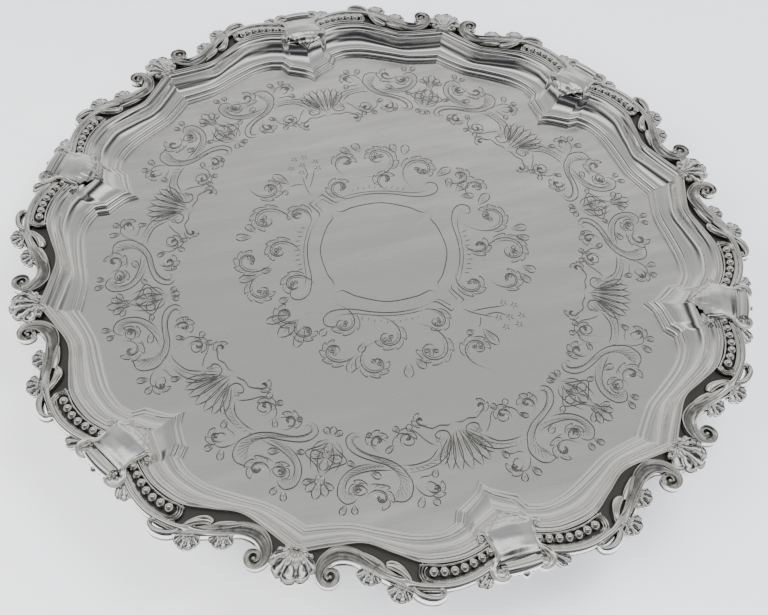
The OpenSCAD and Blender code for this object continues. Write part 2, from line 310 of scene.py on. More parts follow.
def ball(shape, centre, radius, rings=10, sides=20, squash=1.0):
    """A sphere, or a flattened one, turned from its half circle."""
    a = np.linspace(-math.pi / 2, math.pi / 2, rings + 1)
    profile = np.stack([radius * np.cos(a), radius * squash * np.sin(a)], axis=1)
    return revolve(shape, centre, profile, sides)


def relief(top, samples=17, base=-0.25):
    """A closed section whose top is the function `top` of u, from 1 to -1, and whose underside is flat."""
    u = np.sin(np.linspace(1, -1, samples) * math.pi / 2)
    under = np.stack([[-0.98, 0, 0.98], [base, base, base]], axis=1)
    return np.vstack([np.stack([u, top(u)], axis=1), under])


def round_top(u):
    """A half circle."""
    return np.sqrt(np.maximum(1 - u * u, 0))


def strap_top(u):
    """A hollow between two thin rolled edges."""
    rolls = 0.62 + 0.38 * np.sqrt(np.maximum(1 - ((np.abs(u) - 0.87) / 0.13) ** 2, 0))
    hollow = 0.06 + 0.66 * np.abs(u / 0.75) ** 2.6
    return np.where(np.abs(u) > 0.74, rolls, hollow)


def edge_top(u):
    """A shallow hollow between two rounded edges."""
    return np.sqrt(np.maximum(1 - u**8, 0)) * (0.72 + 0.28 * np.abs(u) ** 2)


def leaf_top(u):
    """Two rounded halves with a crease between them and thin edges."""
    return 0.3 + 0.7 * np.sin(math.pi * np.clip(np.abs(u), 0, 1) ** 0.85) ** 0.8 * (np.abs(u) < 1)


def plump_top(u):
    """A full round with a faint crease along it."""
    return 0.1 + 0.9 * np.sqrt(np.maximum(1 - u * u, 0)) - 0.18 * np.exp(-((u / 0.12) ** 2))


ROUND = relief(round_top)
ROUND_STRAP = relief(round_top, 29, -0.6)
STRAP_SECTION = relief(strap_top, 29, -0.6)
EDGE = relief(edge_top, 19, -0.45)
LEAF = relief(leaf_top)
PLUMP = relief(plump_top, 21)
ROD, ROD24 = (np.stack([polar(360 * i / n, 1) for i in range(n)]) for n in (12, 24))


def lobe(shape, points, width, height, z, section, count):
    """One lobe of a leaf: a curved spine whose width swells from the base and closes to a round tip, highest
    two thirds of the way along."""
    t = np.sin(np.linspace(0, 1, count) * math.pi / 2)
    swell = np.sqrt(np.clip(np.sin(math.pi * (0.12 + 0.88 * t**0.8)), 0, 1))
    rise = 0.5 + 0.5 * np.sin(math.pi * np.clip(t * 0.75, 0, 1)) - 0.5 * np.clip((t - 0.75) / 0.25, 0, 1) ** 2
    path = at_height(bezier(points, t), z)
    return sweep(shape, path, np.maximum(width * swell, 0.06), np.maximum(height * rise, 0.2), section)


def make_piece(name, shape, material, nodes, sharp=35, flat=False):
    """Turns a shape into a mesh object in metres, gives it its finish and ties it to the frame."""
    mesh = bpy.data.meshes.new(name)
    faces = [tuple(f) for block in shape.faces for f in block.tolist()]
    mesh.from_pydata((shape.points() * MM).tolist(), [], faces)
    mesh.validate()
    if not flat:
        mesh.shade_smooth()
        mesh.set_sharp_from_angle(angle=math.radians(sharp))
    mesh.materials.append(material)
    piece = bpy.data.objects.new(name, mesh)
    bpy.context.scene.collection.objects.link(piece)
    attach(piece, BODY)
    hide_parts(*nodes)


def cast_pair(name, shape, material):
    """Places a left-handed casting in each lobe, and its mirror image beside it."""
    for k in range(LOBES):
        for side, mirror in (("left", False), ("right", True)):
            node = f"{name}_{side}_{k + 1}"
            make_piece(f"carved_{node}", shape.placed(lobe_turn(k), mirror), material, [node])


# ---------------------------------------------------------------- plan and section of the plate

# Left half of one lobe, from the cartouche's axis (+Y) to the shell's axis, 30 degrees further round.
# Each outline has a point on the cartouche's axis, a small shoulder, the round of the lobe and a corner.
FIELD = [
    (0, 182.9), (-4.6, 188.8), (-10.8, 192.7), (-19.8, 197.2), (-23.4, 204.4), (-33, 206.4),
    (-46.5, 203.8), (-63.6, 195.8), (-79.6, 187.6), (-93, 184.1), (-105, 181.87),
]
STEP = [
    (0, 194), (-3.5, 197), (-8, 200), (-13.5, 203.6), (-17.8, 210.8), (-30.5, 213.8),
    (-48.5, 211.2), (-67, 202.8), (-82, 194.8), (-95, 191.2), (-109, 188.79),
]
CREST = [
    (0, 224), (-4, 224.8), (-8.5, 225.8), (-14, 227.4), (-19, 229), (-31.5, 230.8),
    (-50, 227.6), (-65, 217.5), (-79, 207.6), (-96, 204.6), (-117, 202.65),
]
OUTER = [
    (0, 241), (-12, 240.5), (-21, 243), (-31.5, 245), (-42, 245), (-52, 243.5), (-60, 239.5),
    (-68.7, 233), (-77, 227), (-84.5, 220.5), (-91, 216), (-100, 214), (-110, 213), (-122, 211.31),
]
SHOULDER = 3
FIELD_Z = UNDER_Z + 1.5

# Rim section, with heights above the field. First the step, by part of its width: ovolo, thread, second
# ovolo. Then the part from the step to the crest: wide hollow, fillet, rounded shoulder and fine threads.
STEP_SECTION = [
    (0, 0), (0.03, 1.0), (0.08, 1.9), (0.15, 2.7), (0.25, 3.2), (0.36, 3.4), (0.4, 3.1), (0.44, 3.5),
    (0.5, 4.3), (0.6, 5.0), (0.72, 5.4), (0.82, 5.5), (0.86, 5.2), (0.91, 5.5), (1, 5.6),
]
HOLLOW_SECTION = [
    (0, 5.6), (0.125, 6.0), (0.25, 6.9), (0.375, 8.4), (0.475, 10.5), (0.545, 12.8), (0.575, 14.2),
    (0.59, 14.6), (0.64, 14.8), (0.7, 15.7), (0.76, 16.4), (0.81, 16.7), (0.84, 16.4), (0.87, 17.0),
    (0.9, 16.95), (0.92, 16.6), (0.945, 17.4), (0.975, 17.9), (1, 18.0),
]
UNDER_HOLLOW = [(0.93, 13.5), (0.9, 14.2), (0.74, 11.1), (0.5, 6.8), (0.3, 5.0), (0.15, 4.2)]
UNDER_STEP = [(0.62, 3.2), (0.4, 1.4), (0.18, -1.5), (0, -1.5)]
PLAN_STEPS = 8


def half_lobe(points):
    """An outline's half lobe, smooth on each side of the shoulder, whose two corners are kept."""
    riser = np.linspace(points[SHOULDER], points[SHOULDER + 1], 5)[1:-1]
    before, after = (smooth(part, PLAN_STEPS) for part in (points[: SHOULDER + 1], points[SHOULDER + 1 :]))
    return np.vstack([before, riser, after])


FIELD_LINE, STEP_LINE, CREST_LINE = (half_lobe(line) for line in (FIELD, STEP, CREST))
OUTER_LINE = smooth(OUTER, 6)


def whole_ring(half, height):
    """The closed ring made from a half lobe: its mirror image, then itself, turned six times."""
    pair = np.vstack([half[:0:-1] * (-1, 1), half[:-1]])
    ring = np.vstack([turned(pair, lobe_turn(k)) for k in range(LOBES)])
    return at_height(ring, FIELD_Z + height)


def blended_rings(first, second, section):
    """A ring for each (part, height) of a section, that part of the way from one half lobe to another."""
    return [whole_ring(first * (1 - f) + second * f, h) for f, h in section]


def rim_shape():
    """The moulded rim: rings blended between the three outlines by the section, then the turned-down edge
    and the underside, back to the edge of the field."""
    rings = blended_rings(FIELD_LINE, STEP_LINE, smooth(STEP_SECTION, 2))
    rings += blended_rings(STEP_LINE, CREST_LINE, smooth(HOLLOW_SECTION, 2)[1:])
    rings.append(whole_ring(CREST_LINE, CASTING_Z - FIELD_Z))
    rings += blended_rings(STEP_LINE, CREST_LINE, UNDER_HOLLOW)
    rings += blended_rings(FIELD_LINE, STEP_LINE, UNDER_STEP)
    rings = np.stack(rings)
    return Shape().add(rings, grid_faces(*rings.shape[:2], around=True, along=True)[:, ::-1])


# ---------------------------------------------------------------- engraving

# Each engraved line is a groove of V section. Its middle line is smooth, its width is a part of a full line's
# and it runs out to a point at both ends. The band's lengths are parts of RADIUS.
RADIUS = 210.0
CIRCLE = 126.0  # where the engraved band meets the engraved centre
ARC = 2.5  # degrees between the points of that circle
GROOVE_SLOPE = 1.0
STROKE_BEND = math.radians(20)
STROKE_REACH = 2.6
FINE_LINE = 0.55  # width of a shading stroke, as a part of a full line's

# Left half of one lobe: (width, points), with the cartouche's axis on +Y.
BAND_LINES = [
    (1, [(-0.182, 0.796), (-0.141, 0.799), (-0.10, 0.795), (-0.078, 0.787), (-0.046, 0.765), (-0.034, 0.749),
         (-0.026, 0.73), (-0.026, 0.714), (-0.031, 0.70), (-0.043, 0.694), (-0.059, 0.695), (-0.069, 0.705),
         (-0.065, 0.714), (-0.057, 0.719), (-0.05, 0.714)]),
    (1,
     [(-0.192, 0.768), (-0.163, 0.776), (-0.132, 0.776), (-0.107, 0.771), (-0.085, 0.755), (-0.066, 0.735)]),
    (1, [(-0.22, 0.841), (-0.246, 0.863), (-0.236, 0.871), (-0.22, 0.875), (-0.201, 0.868), (-0.189, 0.853),
         (-0.181, 0.834), (-0.181, 0.815), (-0.186, 0.80), (-0.194, 0.777), (-0.208, 0.758), (-0.227, 0.74),
         (-0.252, 0.724), (-0.277, 0.708), (-0.293, 0.692), (-0.304, 0.673), (-0.307, 0.657), (-0.30, 0.648),
         (-0.288, 0.648), (-0.284, 0.656)]),
    (1, [(-0.201, 0.822), (-0.205, 0.80), (-0.217, 0.777), (-0.236, 0.755), (-0.265, 0.736), (-0.296, 0.714),
         (-0.315, 0.695), (-0.326, 0.673), (-0.326, 0.651), (-0.318, 0.638), (-0.30, 0.632),
         (-0.282, 0.638)]),
    (1, [(-0.344, 0.822), (-0.347, 0.831), (-0.36, 0.839), (-0.379, 0.838), (-0.391, 0.825), (-0.396, 0.806),
         (-0.388, 0.781), (-0.372, 0.76), (-0.35, 0.746), (-0.322, 0.738), (-0.293, 0.738), (-0.265, 0.744)]),
    (1, [(-0.371, 0.806), (-0.369, 0.79), (-0.356, 0.771), (-0.337, 0.762), (-0.309, 0.759), (-0.274, 0.762),
         (-0.246, 0.77), (-0.22, 0.777)]),
    (0.9,
     [(-0.176, 0.819), (-0.175, 0.844), (-0.163, 0.869), (-0.144, 0.88), (-0.122, 0.872), (-0.116, 0.857),
           (-0.126, 0.841), (-0.138, 0.838), (-0.144, 0.85)]),
    (0.8, [(-0.163, 0.825), (-0.15, 0.818), (-0.128, 0.82), (-0.11, 0.812), (-0.094, 0.803)]),
    (0.9,
     [(-0.192, 0.736), (-0.198, 0.698), (-0.185, 0.678), (-0.163, 0.671), (-0.138, 0.686), (-0.133, 0.705),
           (-0.145, 0.715), (-0.162, 0.71), (-0.166, 0.697), (-0.157, 0.691)]),
    (0.9,
     [(-0.205, 0.698), (-0.22, 0.676), (-0.243, 0.664), (-0.255, 0.679), (-0.247, 0.69), (-0.236, 0.684)]),
    # Inner lip of the lobe, and its palmette
    (1, [(0, 0.675), (-0.02, 0.682), (-0.045, 0.676), (-0.07, 0.68), (-0.095, 0.664), (-0.12, 0.655)]),
    (0.9, [(-0.075, 0.737), (-0.09, 0.725), (-0.105, 0.705), (-0.118, 0.68), (-0.14, 0.66)]),
    # Leaf lip by the shell's axis
    (1, [(-0.425, 0.74), (-0.40, 0.725), (-0.378, 0.70), (-0.37, 0.672), (-0.38, 0.65)]),
    (0.9, [(-0.395, 0.745), (-0.372, 0.725), (-0.352, 0.70), (-0.345, 0.67), (-0.36, 0.64)]),
    (0.9, [(-0.30, 0.80), (-0.32, 0.79), (-0.345, 0.795), (-0.35, 0.812), (-0.335, 0.824), (-0.315, 0.82),
           (-0.312, 0.806)]),
    (0.8, [(-0.255, 0.82), (-0.275, 0.805), (-0.30, 0.80)]),
]
# Petals of leaves: (base, tip, half width), each drawn as two curved sides and a middle line.
BAND_PETALS = [
    ((0, 0.69), (0, 0.835), 0.016), ((-0.008, 0.70), (-0.034, 0.832), 0.014),
    ((-0.016, 0.705), (-0.062, 0.822), 0.013), ((-0.024, 0.712), (-0.082, 0.802), 0.012),
    ((-0.163, 0.872), (-0.185, 0.905), 0.010),
    ((-0.14, 0.882), (-0.13, 0.912), 0.010), ((-0.10, 0.80), (-0.115, 0.83), 0.009),
    ((-0.195, 0.70), (-0.225, 0.72), 0.008), ((-0.165, 0.668), (-0.18, 0.645), 0.009),
    ((-0.14, 0.675), (-0.13, 0.648), 0.009), ((-0.246, 0.662), (-0.262, 0.645), 0.008),
    ((-0.29, 0.76), (-0.262, 0.79), 0.010), ((-0.322, 0.738), (-0.34, 0.715), 0.008),
    ((-0.38, 0.84), (-0.405, 0.865), 0.009), ((-0.36, 0.845), (-0.365, 0.875), 0.009),
    ((-0.415, 0.735), (-0.44, 0.765), 0.010), ((-0.372, 0.665), (-0.395, 0.69), 0.008),
]
# On the shell's axis, in distances along it and across it: palmette outside, lozenge, palmette inside.
AXIS_PETALS = [
    ((0.862, 0), (0.925, 0), 0.013), ((0.865, 0.006), (0.908, 0.03), 0.011),
    ((0.866, 0.01), (0.885, 0.046), 0.009),
    ((0.722, 0), (0.69, 0), 0.010), ((0.722, 0.008), (0.698, 0.026), 0.009), ((0.79, 0), (0.836, 0), 0.013),
    ((0.79, 0), (0.744, 0), 0.013), ((0.79, 0), (0.79, 0.05), 0.014),
]
# Small scrolls in the hollows of the straps: centre, radius, start, turn, leaves, leaf length.
BAND_SCROLLS = [
    ((-0.282, 0.848), 0.026, 190, 420, 3, 0.022), ((-0.335, 0.808), 0.02, 60, -380, 2, 0.018),
    ((-0.12, 0.86), 0.018, 200, -360, 2, 0.018), ((-0.235, 0.675), 0.022, 100, 400, 3, 0.02),
    ((-0.15, 0.69), 0.02, 120, 400, 2, 0.018), ((-0.095, 0.645), 0.016, 40, 360, 2, 0.016),
]
LOZENGE = [(0.852, 0), (0.822, 0.022), (0.79, 0.062), (0.758, 0.022), (0.728, 0)]
LOZENGE_INNER = [(0.838, 0), (0.815, 0.016), (0.79, 0.048), (0.765, 0.016), (0.742, 0)]
# Shading strokes between two lines: (first line, second line, part of the way across, number).
BAND_HATCH = [(0, 1, 0.5, 16), (2, 3, 0.5, 26), (4, 5, 0.5, 20)]


def axis_point(radius, across):
    """A point of the left half lobe from its distance along the shell's axis and its distance across it."""
    along = np.array([-0.5, math.sqrt(0.75)])
    return radius * along + across * np.array([along[1], -along[0]])


def petal_lines(base, tip, half_width):
    """A petal's two sides, which swell most past its middle, and three veins."""
    base, tip = np.asarray(base, float), np.asarray(tip, float)
    forward = tip - base
    side = np.array([-forward[1], forward[0]]) / np.linalg.norm(forward)
    lines = [(0.6, [base + forward * 0.2, base + forward * 0.5, base + forward * 0.82])]
    for s in (half_width, -half_width):
        lines.append((1, [base, base + forward * 0.35 + side * s * 0.7, base + forward * 0.68 + side * s,
                             base + forward * 0.9 + side * s * 0.55, tip]))
        lines.append((0.5, [base + forward * 0.25 + side * s * 0.2, base + forward * 0.66 + side * s * 0.55]))
    return lines


def paired(first, second, count):
    """Points evenly spaced along two lines, running the same way."""
    a, b = evenly(smooth(first, 4), count), evenly(smooth(second, 4), count)
    apart = np.linalg.norm(a[0] - b[0]) + np.linalg.norm(a[-1] - b[-1])
    crossed = np.linalg.norm(a[0] - b[-1]) + np.linalg.norm(a[-1] - b[0])
    return a, b[::-1] if crossed < apart else b


def hatch_lines(first, second, reach, count):
    """Fine strokes from one line part of the way to another."""
    pairs = zip(*paired(first, second, count))
    return [(FINE_LINE, [p + (q - p) * 0.08, p + (q - p) * (0.08 + reach)]) for p, q in pairs]


def foliage(centre, radius, start, turn, leaves, leaf_length):
    """An engraved scroll. Its stem sweeps in to the radius, which then shrinks evenly as it winds: r = radius
    (1 - 0.8 t + 0.8 e^(-9 t)). A second line runs inside it, with shading between the two; outside it an
    acanthus edge of pointed lobes, and three petals at its eye."""
    centre = np.asarray(centre, float)

    def at(t, lift=0.0):
        angle = np.radians(start + turn * t)
        reach = radius * (1 - 0.8 * t + 0.8 * np.exp(-9 * t)) + lift
        return centre + reach[..., None] * np.stack([np.cos(angle), np.sin(angle)], axis=-1)

    t = np.linspace(0, 1, 20)
    inner = np.linspace(0.1, 0.8, 12)
    lines = [(1, at(t)), (0.75, at(inner, -0.22 * radius * (1.1 - inner)))]
    shaded = np.linspace(0.1, 0.55, 9)
    lines += hatch_lines(at(shaded), at(shaded, -0.2 * radius), 0.6, 9)
    edges = np.linspace(0.14, 0.62, leaves + 1)
    for a, b in zip(edges[:-1], edges[1:]):
        along = a + (b - a) * np.array([0, 0.3, 0.75, 1.15, 1.05, 1])
        lines.append((0.9, at(along, leaf_length * np.array([0, 0.62, 0.9, 1.0, 0.45, 0.0]))))
        vein = a + (b - a) * np.array([0.25, 0.6, 0.9])
        lines.append((0.5, at(vein, leaf_length * np.array([0.1, 0.42, 0.62]))))
    for degrees in (0, 70, 140):
        tip = centre + polar(start + turn + 180 + degrees, 0.42 * radius)
        lines += petal_lines(centre, tip, radius * 0.11)
    return lines


def band_strokes():
    """Strokes of a half lobe of the band: lines, shading, petals, scrolls, and the lozenge with its petals."""
    lines = list(BAND_LINES)
    for i, j, reach, count in BAND_HATCH:
        lines += hatch_lines(BAND_LINES[i][1], BAND_LINES[j][1], reach, count)
        lines.append((0.6, sum(paired(BAND_LINES[i][1], BAND_LINES[j][1], 14)) / 2))
    for petal in BAND_PETALS:
        lines += petal_lines(*petal)
    for scroll in BAND_SCROLLS:
        lines += foliage(*scroll)
    for base, tip, half_width in AXIS_PETALS:
        lines += petal_lines(axis_point(*base), axis_point(*tip), half_width)
    for w, outline in ((1, LOZENGE), (0.7, LOZENGE_INNER)):
        lines.append((w, [axis_point(*p) for p in outline]))
    return [(w, np.asarray(p, float) * RADIUS) for w, p in lines]


# The centre, mirrored about an axis through two of the cartouches. In degrees from the middle of its right
# half and mm from the salver's middle. Lines of the plain reserve and the strap round it: (part, points).
CENTRE_LINES = [
    (1, [(2, 51), (2.8, 49), (5, 46.6), (10, 45.7), (20, 45.2), (45, 45), (70, 45.2), (80, 45.7), (85, 46.6),
         (87.2, 49), (88, 51)]),
    (1,
     [(13, 55), (25, 54.5), (40, 54.2), (55, 54.5), (68, 56), (76, 60), (81, 66), (81.5, 73), (78, 77),
      (74, 75),
         (74, 71.5), (76.5, 70.5)]),
    (0.8, [(14, 58), (25, 57), (40, 56.6), (55, 57.2), (66, 59), (73, 63), (77, 68)]),
    (1, [(13, 55), (9.5, 55.5), (7.5, 58), (5.8, 67), (5, 68.2), (0, 68)]),
    (0.7, [(8, 54), (5, 57), (3.6, 63), (3, 64.4), (0, 64.2)]),
]
# Foliate scrolls: (degrees, mm), radius, start from the way to the middle, turn, leaves.
CENTRE_SCROLLS = [
    ((-84, 88), 8, 30, 430, 4), ((-68, 92), 9, -60, -430, 5), ((-71, 70), 9, 40, -400, 3),
    ((-51, 95), 10, 0, 450, 5),
    ((-46, 74), 10, 20, -420, 4), ((-27, 88), 12, 0, -450, 5), ((-17, 69), 8, 30, -420, 3),
    ((-10, 101), 9, 160, -450, 4),
    ((19, 67), 9, -30, 440, 3), ((29, 90), 8, 20, 420, 4), ((45, 91), 13, 30, -480, 6),
    ((49, 69), 7, -20, 400, 3),
    ((67, 86), 12, 0, 470, 5), ((85, 95), 8, 40, -420, 4),
]
# Leaves: base, tip, half width.
CENTRE_PETALS = [
    ((57, 96), (57, 108), 3.2), ((53, 97), (51, 107), 2.6), ((37, 98), (35, 108), 3),
    ((33, 97), (29, 105), 2.6),
    ((76, 84), (79, 98), 3.4), ((90, 80), (90, 94), 3.6), ((86, 79), (82, 88), 2.6),
    ((-2, 92), (-3, 108), 3.4),
    ((-5, 90), (-9, 88), 2.0), ((-38, 94), (-39, 106), 3.2), ((-35, 92), (-32, 101), 2.6),
    ((-60, 92), (-60, 105), 3.2),
    ((-90, 84), (-90, 104), 4.2), ((-86, 86), (-82, 103), 3.2), ((-77, 78), (-77, 86), 2.4),
    ((-57, 80), (-58, 88), 2.4),
]
# Small flowers of the spray, and its stems.
SPRAY = [(7, 95), (10, 101), (13, 107), (16, 99), (5, 103), (9, 109), (15, 92)]
STEMS = [
    [(0, 72), (2, 80), (6, 92)], [(2, 78), (8, 84), (14, 94)], [(3, 84), (0, 88), (-3, 90)],
    [(4, 86), (9, 92), (10, 100)],
]


def centre_strokes():
    """Strokes of the right half: the reserve, its strap with an ear and scrolled ends, rays, scrolls, leaves
    and a spray of flowers."""
    lines = [(w, [polar(side * a, r) for a, r in path]) for side in (1, -1) for w, path in CENTRE_LINES]
    lines += [(0.9, [polar(a, r) for a, r in path]) for path in STEMS]
    for centre, radius, start, turn, leaves in CENTRE_SCROLLS:
        lines += foliage(polar(*centre), radius, centre[0] + 180 + start, turn, leaves, 4.2)
    for base, tip, half_width in CENTRE_PETALS:
        lines += petal_lines(polar(*base), polar(*tip), half_width)
    for i in range(10):
        for side in (1, -1):
            a = side * (25 + 4 * i)
            lines.append((0.8, [polar(a, 59), polar(a + side, 62.5 + 1.5 * (i % 2))]))
    for flower in SPRAY:
        for a in range(0, 360, 72):
            lines.append((0.9, [polar(*flower) + polar(a, 0.5), polar(*flower) + polar(a + 12, 2.8)]))
    return [(w, np.asarray(p, float)) for w, p in lines]


def inside(points, outline):
    """Whether each point lies inside a closed outline, by counting the edges to its right."""
    a, b = outline, np.roll(outline, -1, axis=0)
    x, y = points[:, :1], points[:, 1:2]
    spans = (a[None, :, 1] > y) != (b[None, :, 1] > y)
    rise = np.where(b[:, 1] == a[:, 1], 1e-12, b[:, 1] - a[:, 1])[None]
    at = a[None, :, 0] + (y - a[None, :, 1]) * (b[:, 0] - a[:, 0])[None] / rise
    return (spans & (x < at)).sum(axis=1) % 2 == 1


def spaced(path):
    """The path again with fewer points: one to each STROKE_BEND it turns through and each STROKE_REACH mm."""
    run, steps = run_lengths(path), np.diff(path, axis=0)
    heading = np.unwrap(np.arctan2(steps[:, 1], steps[:, 0]))
    turn = np.interp(run, (run[1:] + run[:-1]) / 2, heading)
    measure = run / STROKE_REACH + np.concatenate([[0], np.cumsum(np.abs(np.diff(turn)))]) / STROKE_BEND
    at = np.linspace(0, measure[-1], max(4, math.ceil(measure[-1]) + 1))
    return np.column_stack([np.interp(at, measure, path[:, i]) for i in (0, 1)])


def cut(outline, strokes, line_width):
    """Triangulates an outline together with both edges and the middle of each stroke, and sinks every vertex
    by the slope times how far it lies inside the widest groove near it."""
    points, edges, starts, ends = [outline], [], [], []
    n = len(outline)
    edges.append(np.stack([np.arange(n), (np.arange(n) + 1) % n], axis=1))
    total = n
    for part, path in strokes:
        path = spaced(smooth(path, 4))
        t = np.linspace(0, 1, len(path))
        half = 0.5 * line_width * part * np.minimum(1, 0.18 + 5 * np.minimum(t, 1 - t))
        way = unit(np.gradient(path, axis=0))
        side = np.stack([-way[:, 1], way[:, 0]], axis=1) * half[:, None]
        m = len(path)
        run = np.stack([np.arange(m - 1), np.arange(1, m)], axis=1)
        for offset, row in enumerate((path, path + side, path - side)):
            points.append(row)
            edges.append(run + total + offset * m)
        for i in (0, m - 1):
            edges.append(np.array([[total + i, total + m + i], [total + i, total + 2 * m + i]]))
        total += 3 * m
        starts.append(np.column_stack([path[:-1], half[:-1]]))
        ends.append(np.column_stack([path[1:], half[1:]]))
    points = np.vstack(points)
    made = delaunay_2d_cdt([Vector(p) for p in points.tolist()], np.vstack(edges).tolist(), [], 0, 1e-4, False)
    xy = np.array([tuple(v) for v in made[0]])
    triangles = np.array(made[2])
    middle = xy[triangles].mean(axis=1)
    triangles = triangles[inside(middle, outline)]
    a, b, c = (xy[triangles[:, i]] for i in range(3))
    area = (b[:, 0] - a[:, 0]) * (c[:, 1] - a[:, 1]) - (b[:, 1] - a[:, 1]) * (c[:, 0] - a[:, 0])
    triangles[area < 0] = triangles[area < 0][:, ::-1]
    depth = np.zeros(len(xy))
    if strokes:
        starts, ends = np.vstack(starts), np.vstack(ends)
        span = ends[:, :2] - starts[:, :2]
        square = np.maximum((span**2).sum(axis=1), 1e-12)
        for low in range(0, len(xy), 500):
            away = xy[low : low + 500, None, :] - starts[None, :, :2]
            t = np.clip((away * span).sum(axis=2) / square, 0, 1)
            gap = np.linalg.norm(away - t[..., None] * span, axis=2)
            reach = starts[:, 2] * (1 - t) + ends[:, 2] * t
            depth[low : low + 500] = np.maximum(reach - gap, 0).max(axis=1)
    return xy, triangles, depth * GROOVE_SLOPE


def engraved_sheet(outline, strokes, wall, placings):
    """A sheet whose top is cut with the strokes: the top, a plain underside, and walls along the outline's
    first `wall` points, copied to each placing (degrees, mirrored) and welded along the shared edges."""
    width = sizes().line / MM
    thickness = sizes().sheet / MM
    xy, triangles, depth = cut(outline, strokes, width)
    part = Shape().add(at_height(xy, FIELD_Z - depth), triangles)
    flat_xy, flat_triangles, _ = cut(outline, [], width)
    part.add(at_height(flat_xy, FIELD_Z - thickness), flat_triangles[:, ::-1])
    rows = np.stack([at_height(outline[:wall], z) for z in (FIELD_Z, FIELD_Z - thickness)])
    part.add(rows, grid_faces(2, wall)[:, ::-1])
    whole = Shape()
    for degrees, mirror in placings:
        whole.join(part.placed(degrees, mirror))
    return whole.welded()


def band_sheet(lobes):
    """The field's outer part, engraved with the border, for the given lobes."""
    a = np.radians(np.arange(120, 90 - 0.01, -ARC))
    arc = CIRCLE * np.stack([np.cos(a), np.sin(a)], axis=1)
    outline = np.vstack([FIELD_LINE, arc])
    placings = [(lobe_turn(k), mirror) for k in lobes for mirror in (False, True)]
    return engraved_sheet(outline, band_strokes(), len(FIELD_LINE), placings)


def centre_sheet():
    """The field's middle, a disc made of its right half and the mirror image of that."""
    a = np.radians(np.arange(-90, 90 + 0.01, ARC))
    outline = CIRCLE * np.stack([np.cos(a), np.sin(a)], axis=1)
    outline[[0, -1], 0] = 0
    placings = [(lobe_turn(0), mirror) for mirror in (False, True)]
    return engraved_sheet(outline, centre_strokes(), len(outline), placings)


# ---------------------------------------------------------------- castings

# Middle of the rail, which becomes the arm of the scroll, with its half width and height. It turns into a
# hollow strap between the two STRAP lengths along it and winds up in the volute.
ARM = [
    (-10.5, 236.4, 1.9, 2.4), (-21, 240.9, 2.1, 2.5), (-31.5, 243, 2.1, 2.5), (-42, 242.9, 2.1, 2.5),
    (-54, 239.8, 2.1, 2.5), (-62, 236, 2.2, 2.6), (-69, 231.2, 2.5, 2.9), (-75.5, 225, 3.1, 3.3),
    (-81.5, 218.3, 3.8, 3.6), (-88, 212.3, 4.4, 3.7), (-95.5, 209.6, 4.6, 3.7), (-102.4, 211.2, 4.0, 3.6),
    (-106.8, 215.0, 3.0, 3.4), (-108.3, 219.4, 2.15, 3.2), (-106.9, 223.4, 1.85, 3.0),
    (-103.2, 225.0, 1.7, 3.0),
    (-99.7, 223.2, 1.55, 3.0), (-98.7, 219.7, 1.45, 3.0), (-100.7, 217.1, 1.25, 3.0),
    (-103.5, 217.3, 1.05, 2.8),
    (-104.9, 219.5, 0.9, 2.6), (-104.2, 221.5, 0.75, 2.6),
]
STRAP = (48.0, 72.0)
VOLUTE = (-103.2, 220.8)
BEAD_LINE = [(-12.8, 230.7), (-24, 234.1), (-36, 235.7), (-50.4, 232.6)]
INNER_ROD = [(-14, 228.6), (-22, 230.8), (-32, 232.0), (-42, 231.2), (-49, 229.0), (-54.5, 227.6)]
OUTER_THREAD = [(-13, 234.6), (-24, 237.9), (-36, 239.5), (-47, 238.2), (-53.5, 235.6)]
OUTER_SLOPE = [
    (-13, 236.0, 1.7, 2.2), (-24, 239.4, 1.9, 2.4), (-36, 241.0, 1.9, 2.4), (-48, 239.6, 1.8, 2.3),
    (-56, 236, 1.2, 1.8),
]
# Ruffles of the acanthus outside the arm, and the leaf by the cartouche: hinge, way it points (degrees from
# +Y), then the flutes, reach, shortening, spread, height and scoop of its fan.
RUFFLES = [
    ((-79.4, 221.2), 34, (4, 11.0, 2.2, 58, 3.9, 1.3)), ((-65.8, 234.2), 36, (4, 11.6, 2.2, 56, 4.0, 1.3)),
    ((-14.5, 238.0), 52, (3, 16.2, 3.4, 27, 3.9, 1.4)),
]
ACANTHUS_SPINE = [
    (-89, 215.6, 0.8, 2.6), (-84.6, 219.4, 1.5, 3.4), (-79, 225.0, 1.7, 3.6), (-72.8, 231.4, 1.7, 3.7),
    (-66, 237.4, 1.8, 3.8), (-62, 240.6, 1.9, 3.9), (-59.5, 242.6, 1.6, 3.8),
]
COMMA = [
    (-61.5, 238.0, 1.6, 3.9), (-60.2, 241.8, 2.5, 4.6), (-56.8, 245.2, 2.7, 5.0), (-51.8, 247.4, 2.5, 4.9),
    (-47.4, 247.2, 1.9, 4.4), (-45.4, 244.9, 1.3, 4.0), (-46.6, 243.2, 0.9, 3.9),
]
TONGUE_LEAF = ((-72.6, 223.6), (-77.0, 217.4), (-85.6, 209.6), 2.8)
INNER_LEAF = ((-71.4, 222.0), (-64.6, 222.0), (-60.6, 237.0), 3.3)
CHANNEL_END = (-49.2, 233.2)
CHANNEL_RINGS = ((3.8, 0.55), (5.2, 0.65), (6.6, 0.6))  # radius and half thickness
VOLUTE_DISC = [(0, -1.5), (4.6, -1.4), (5.6, -0.8), (5.7, -0.2), (5.4, 0.3), (0, 0.4)]


def path_sweep(shape, rows, steps, section):
    """Sweeps a section along smoothed rows of (x, y, half width, height), from the floor of the channel."""
    rows = smooth(rows, steps)
    return sweep(shape, at_height(rows[:, :2], FLOOR_Z), rows[:, 2], rows[:, 3], section)


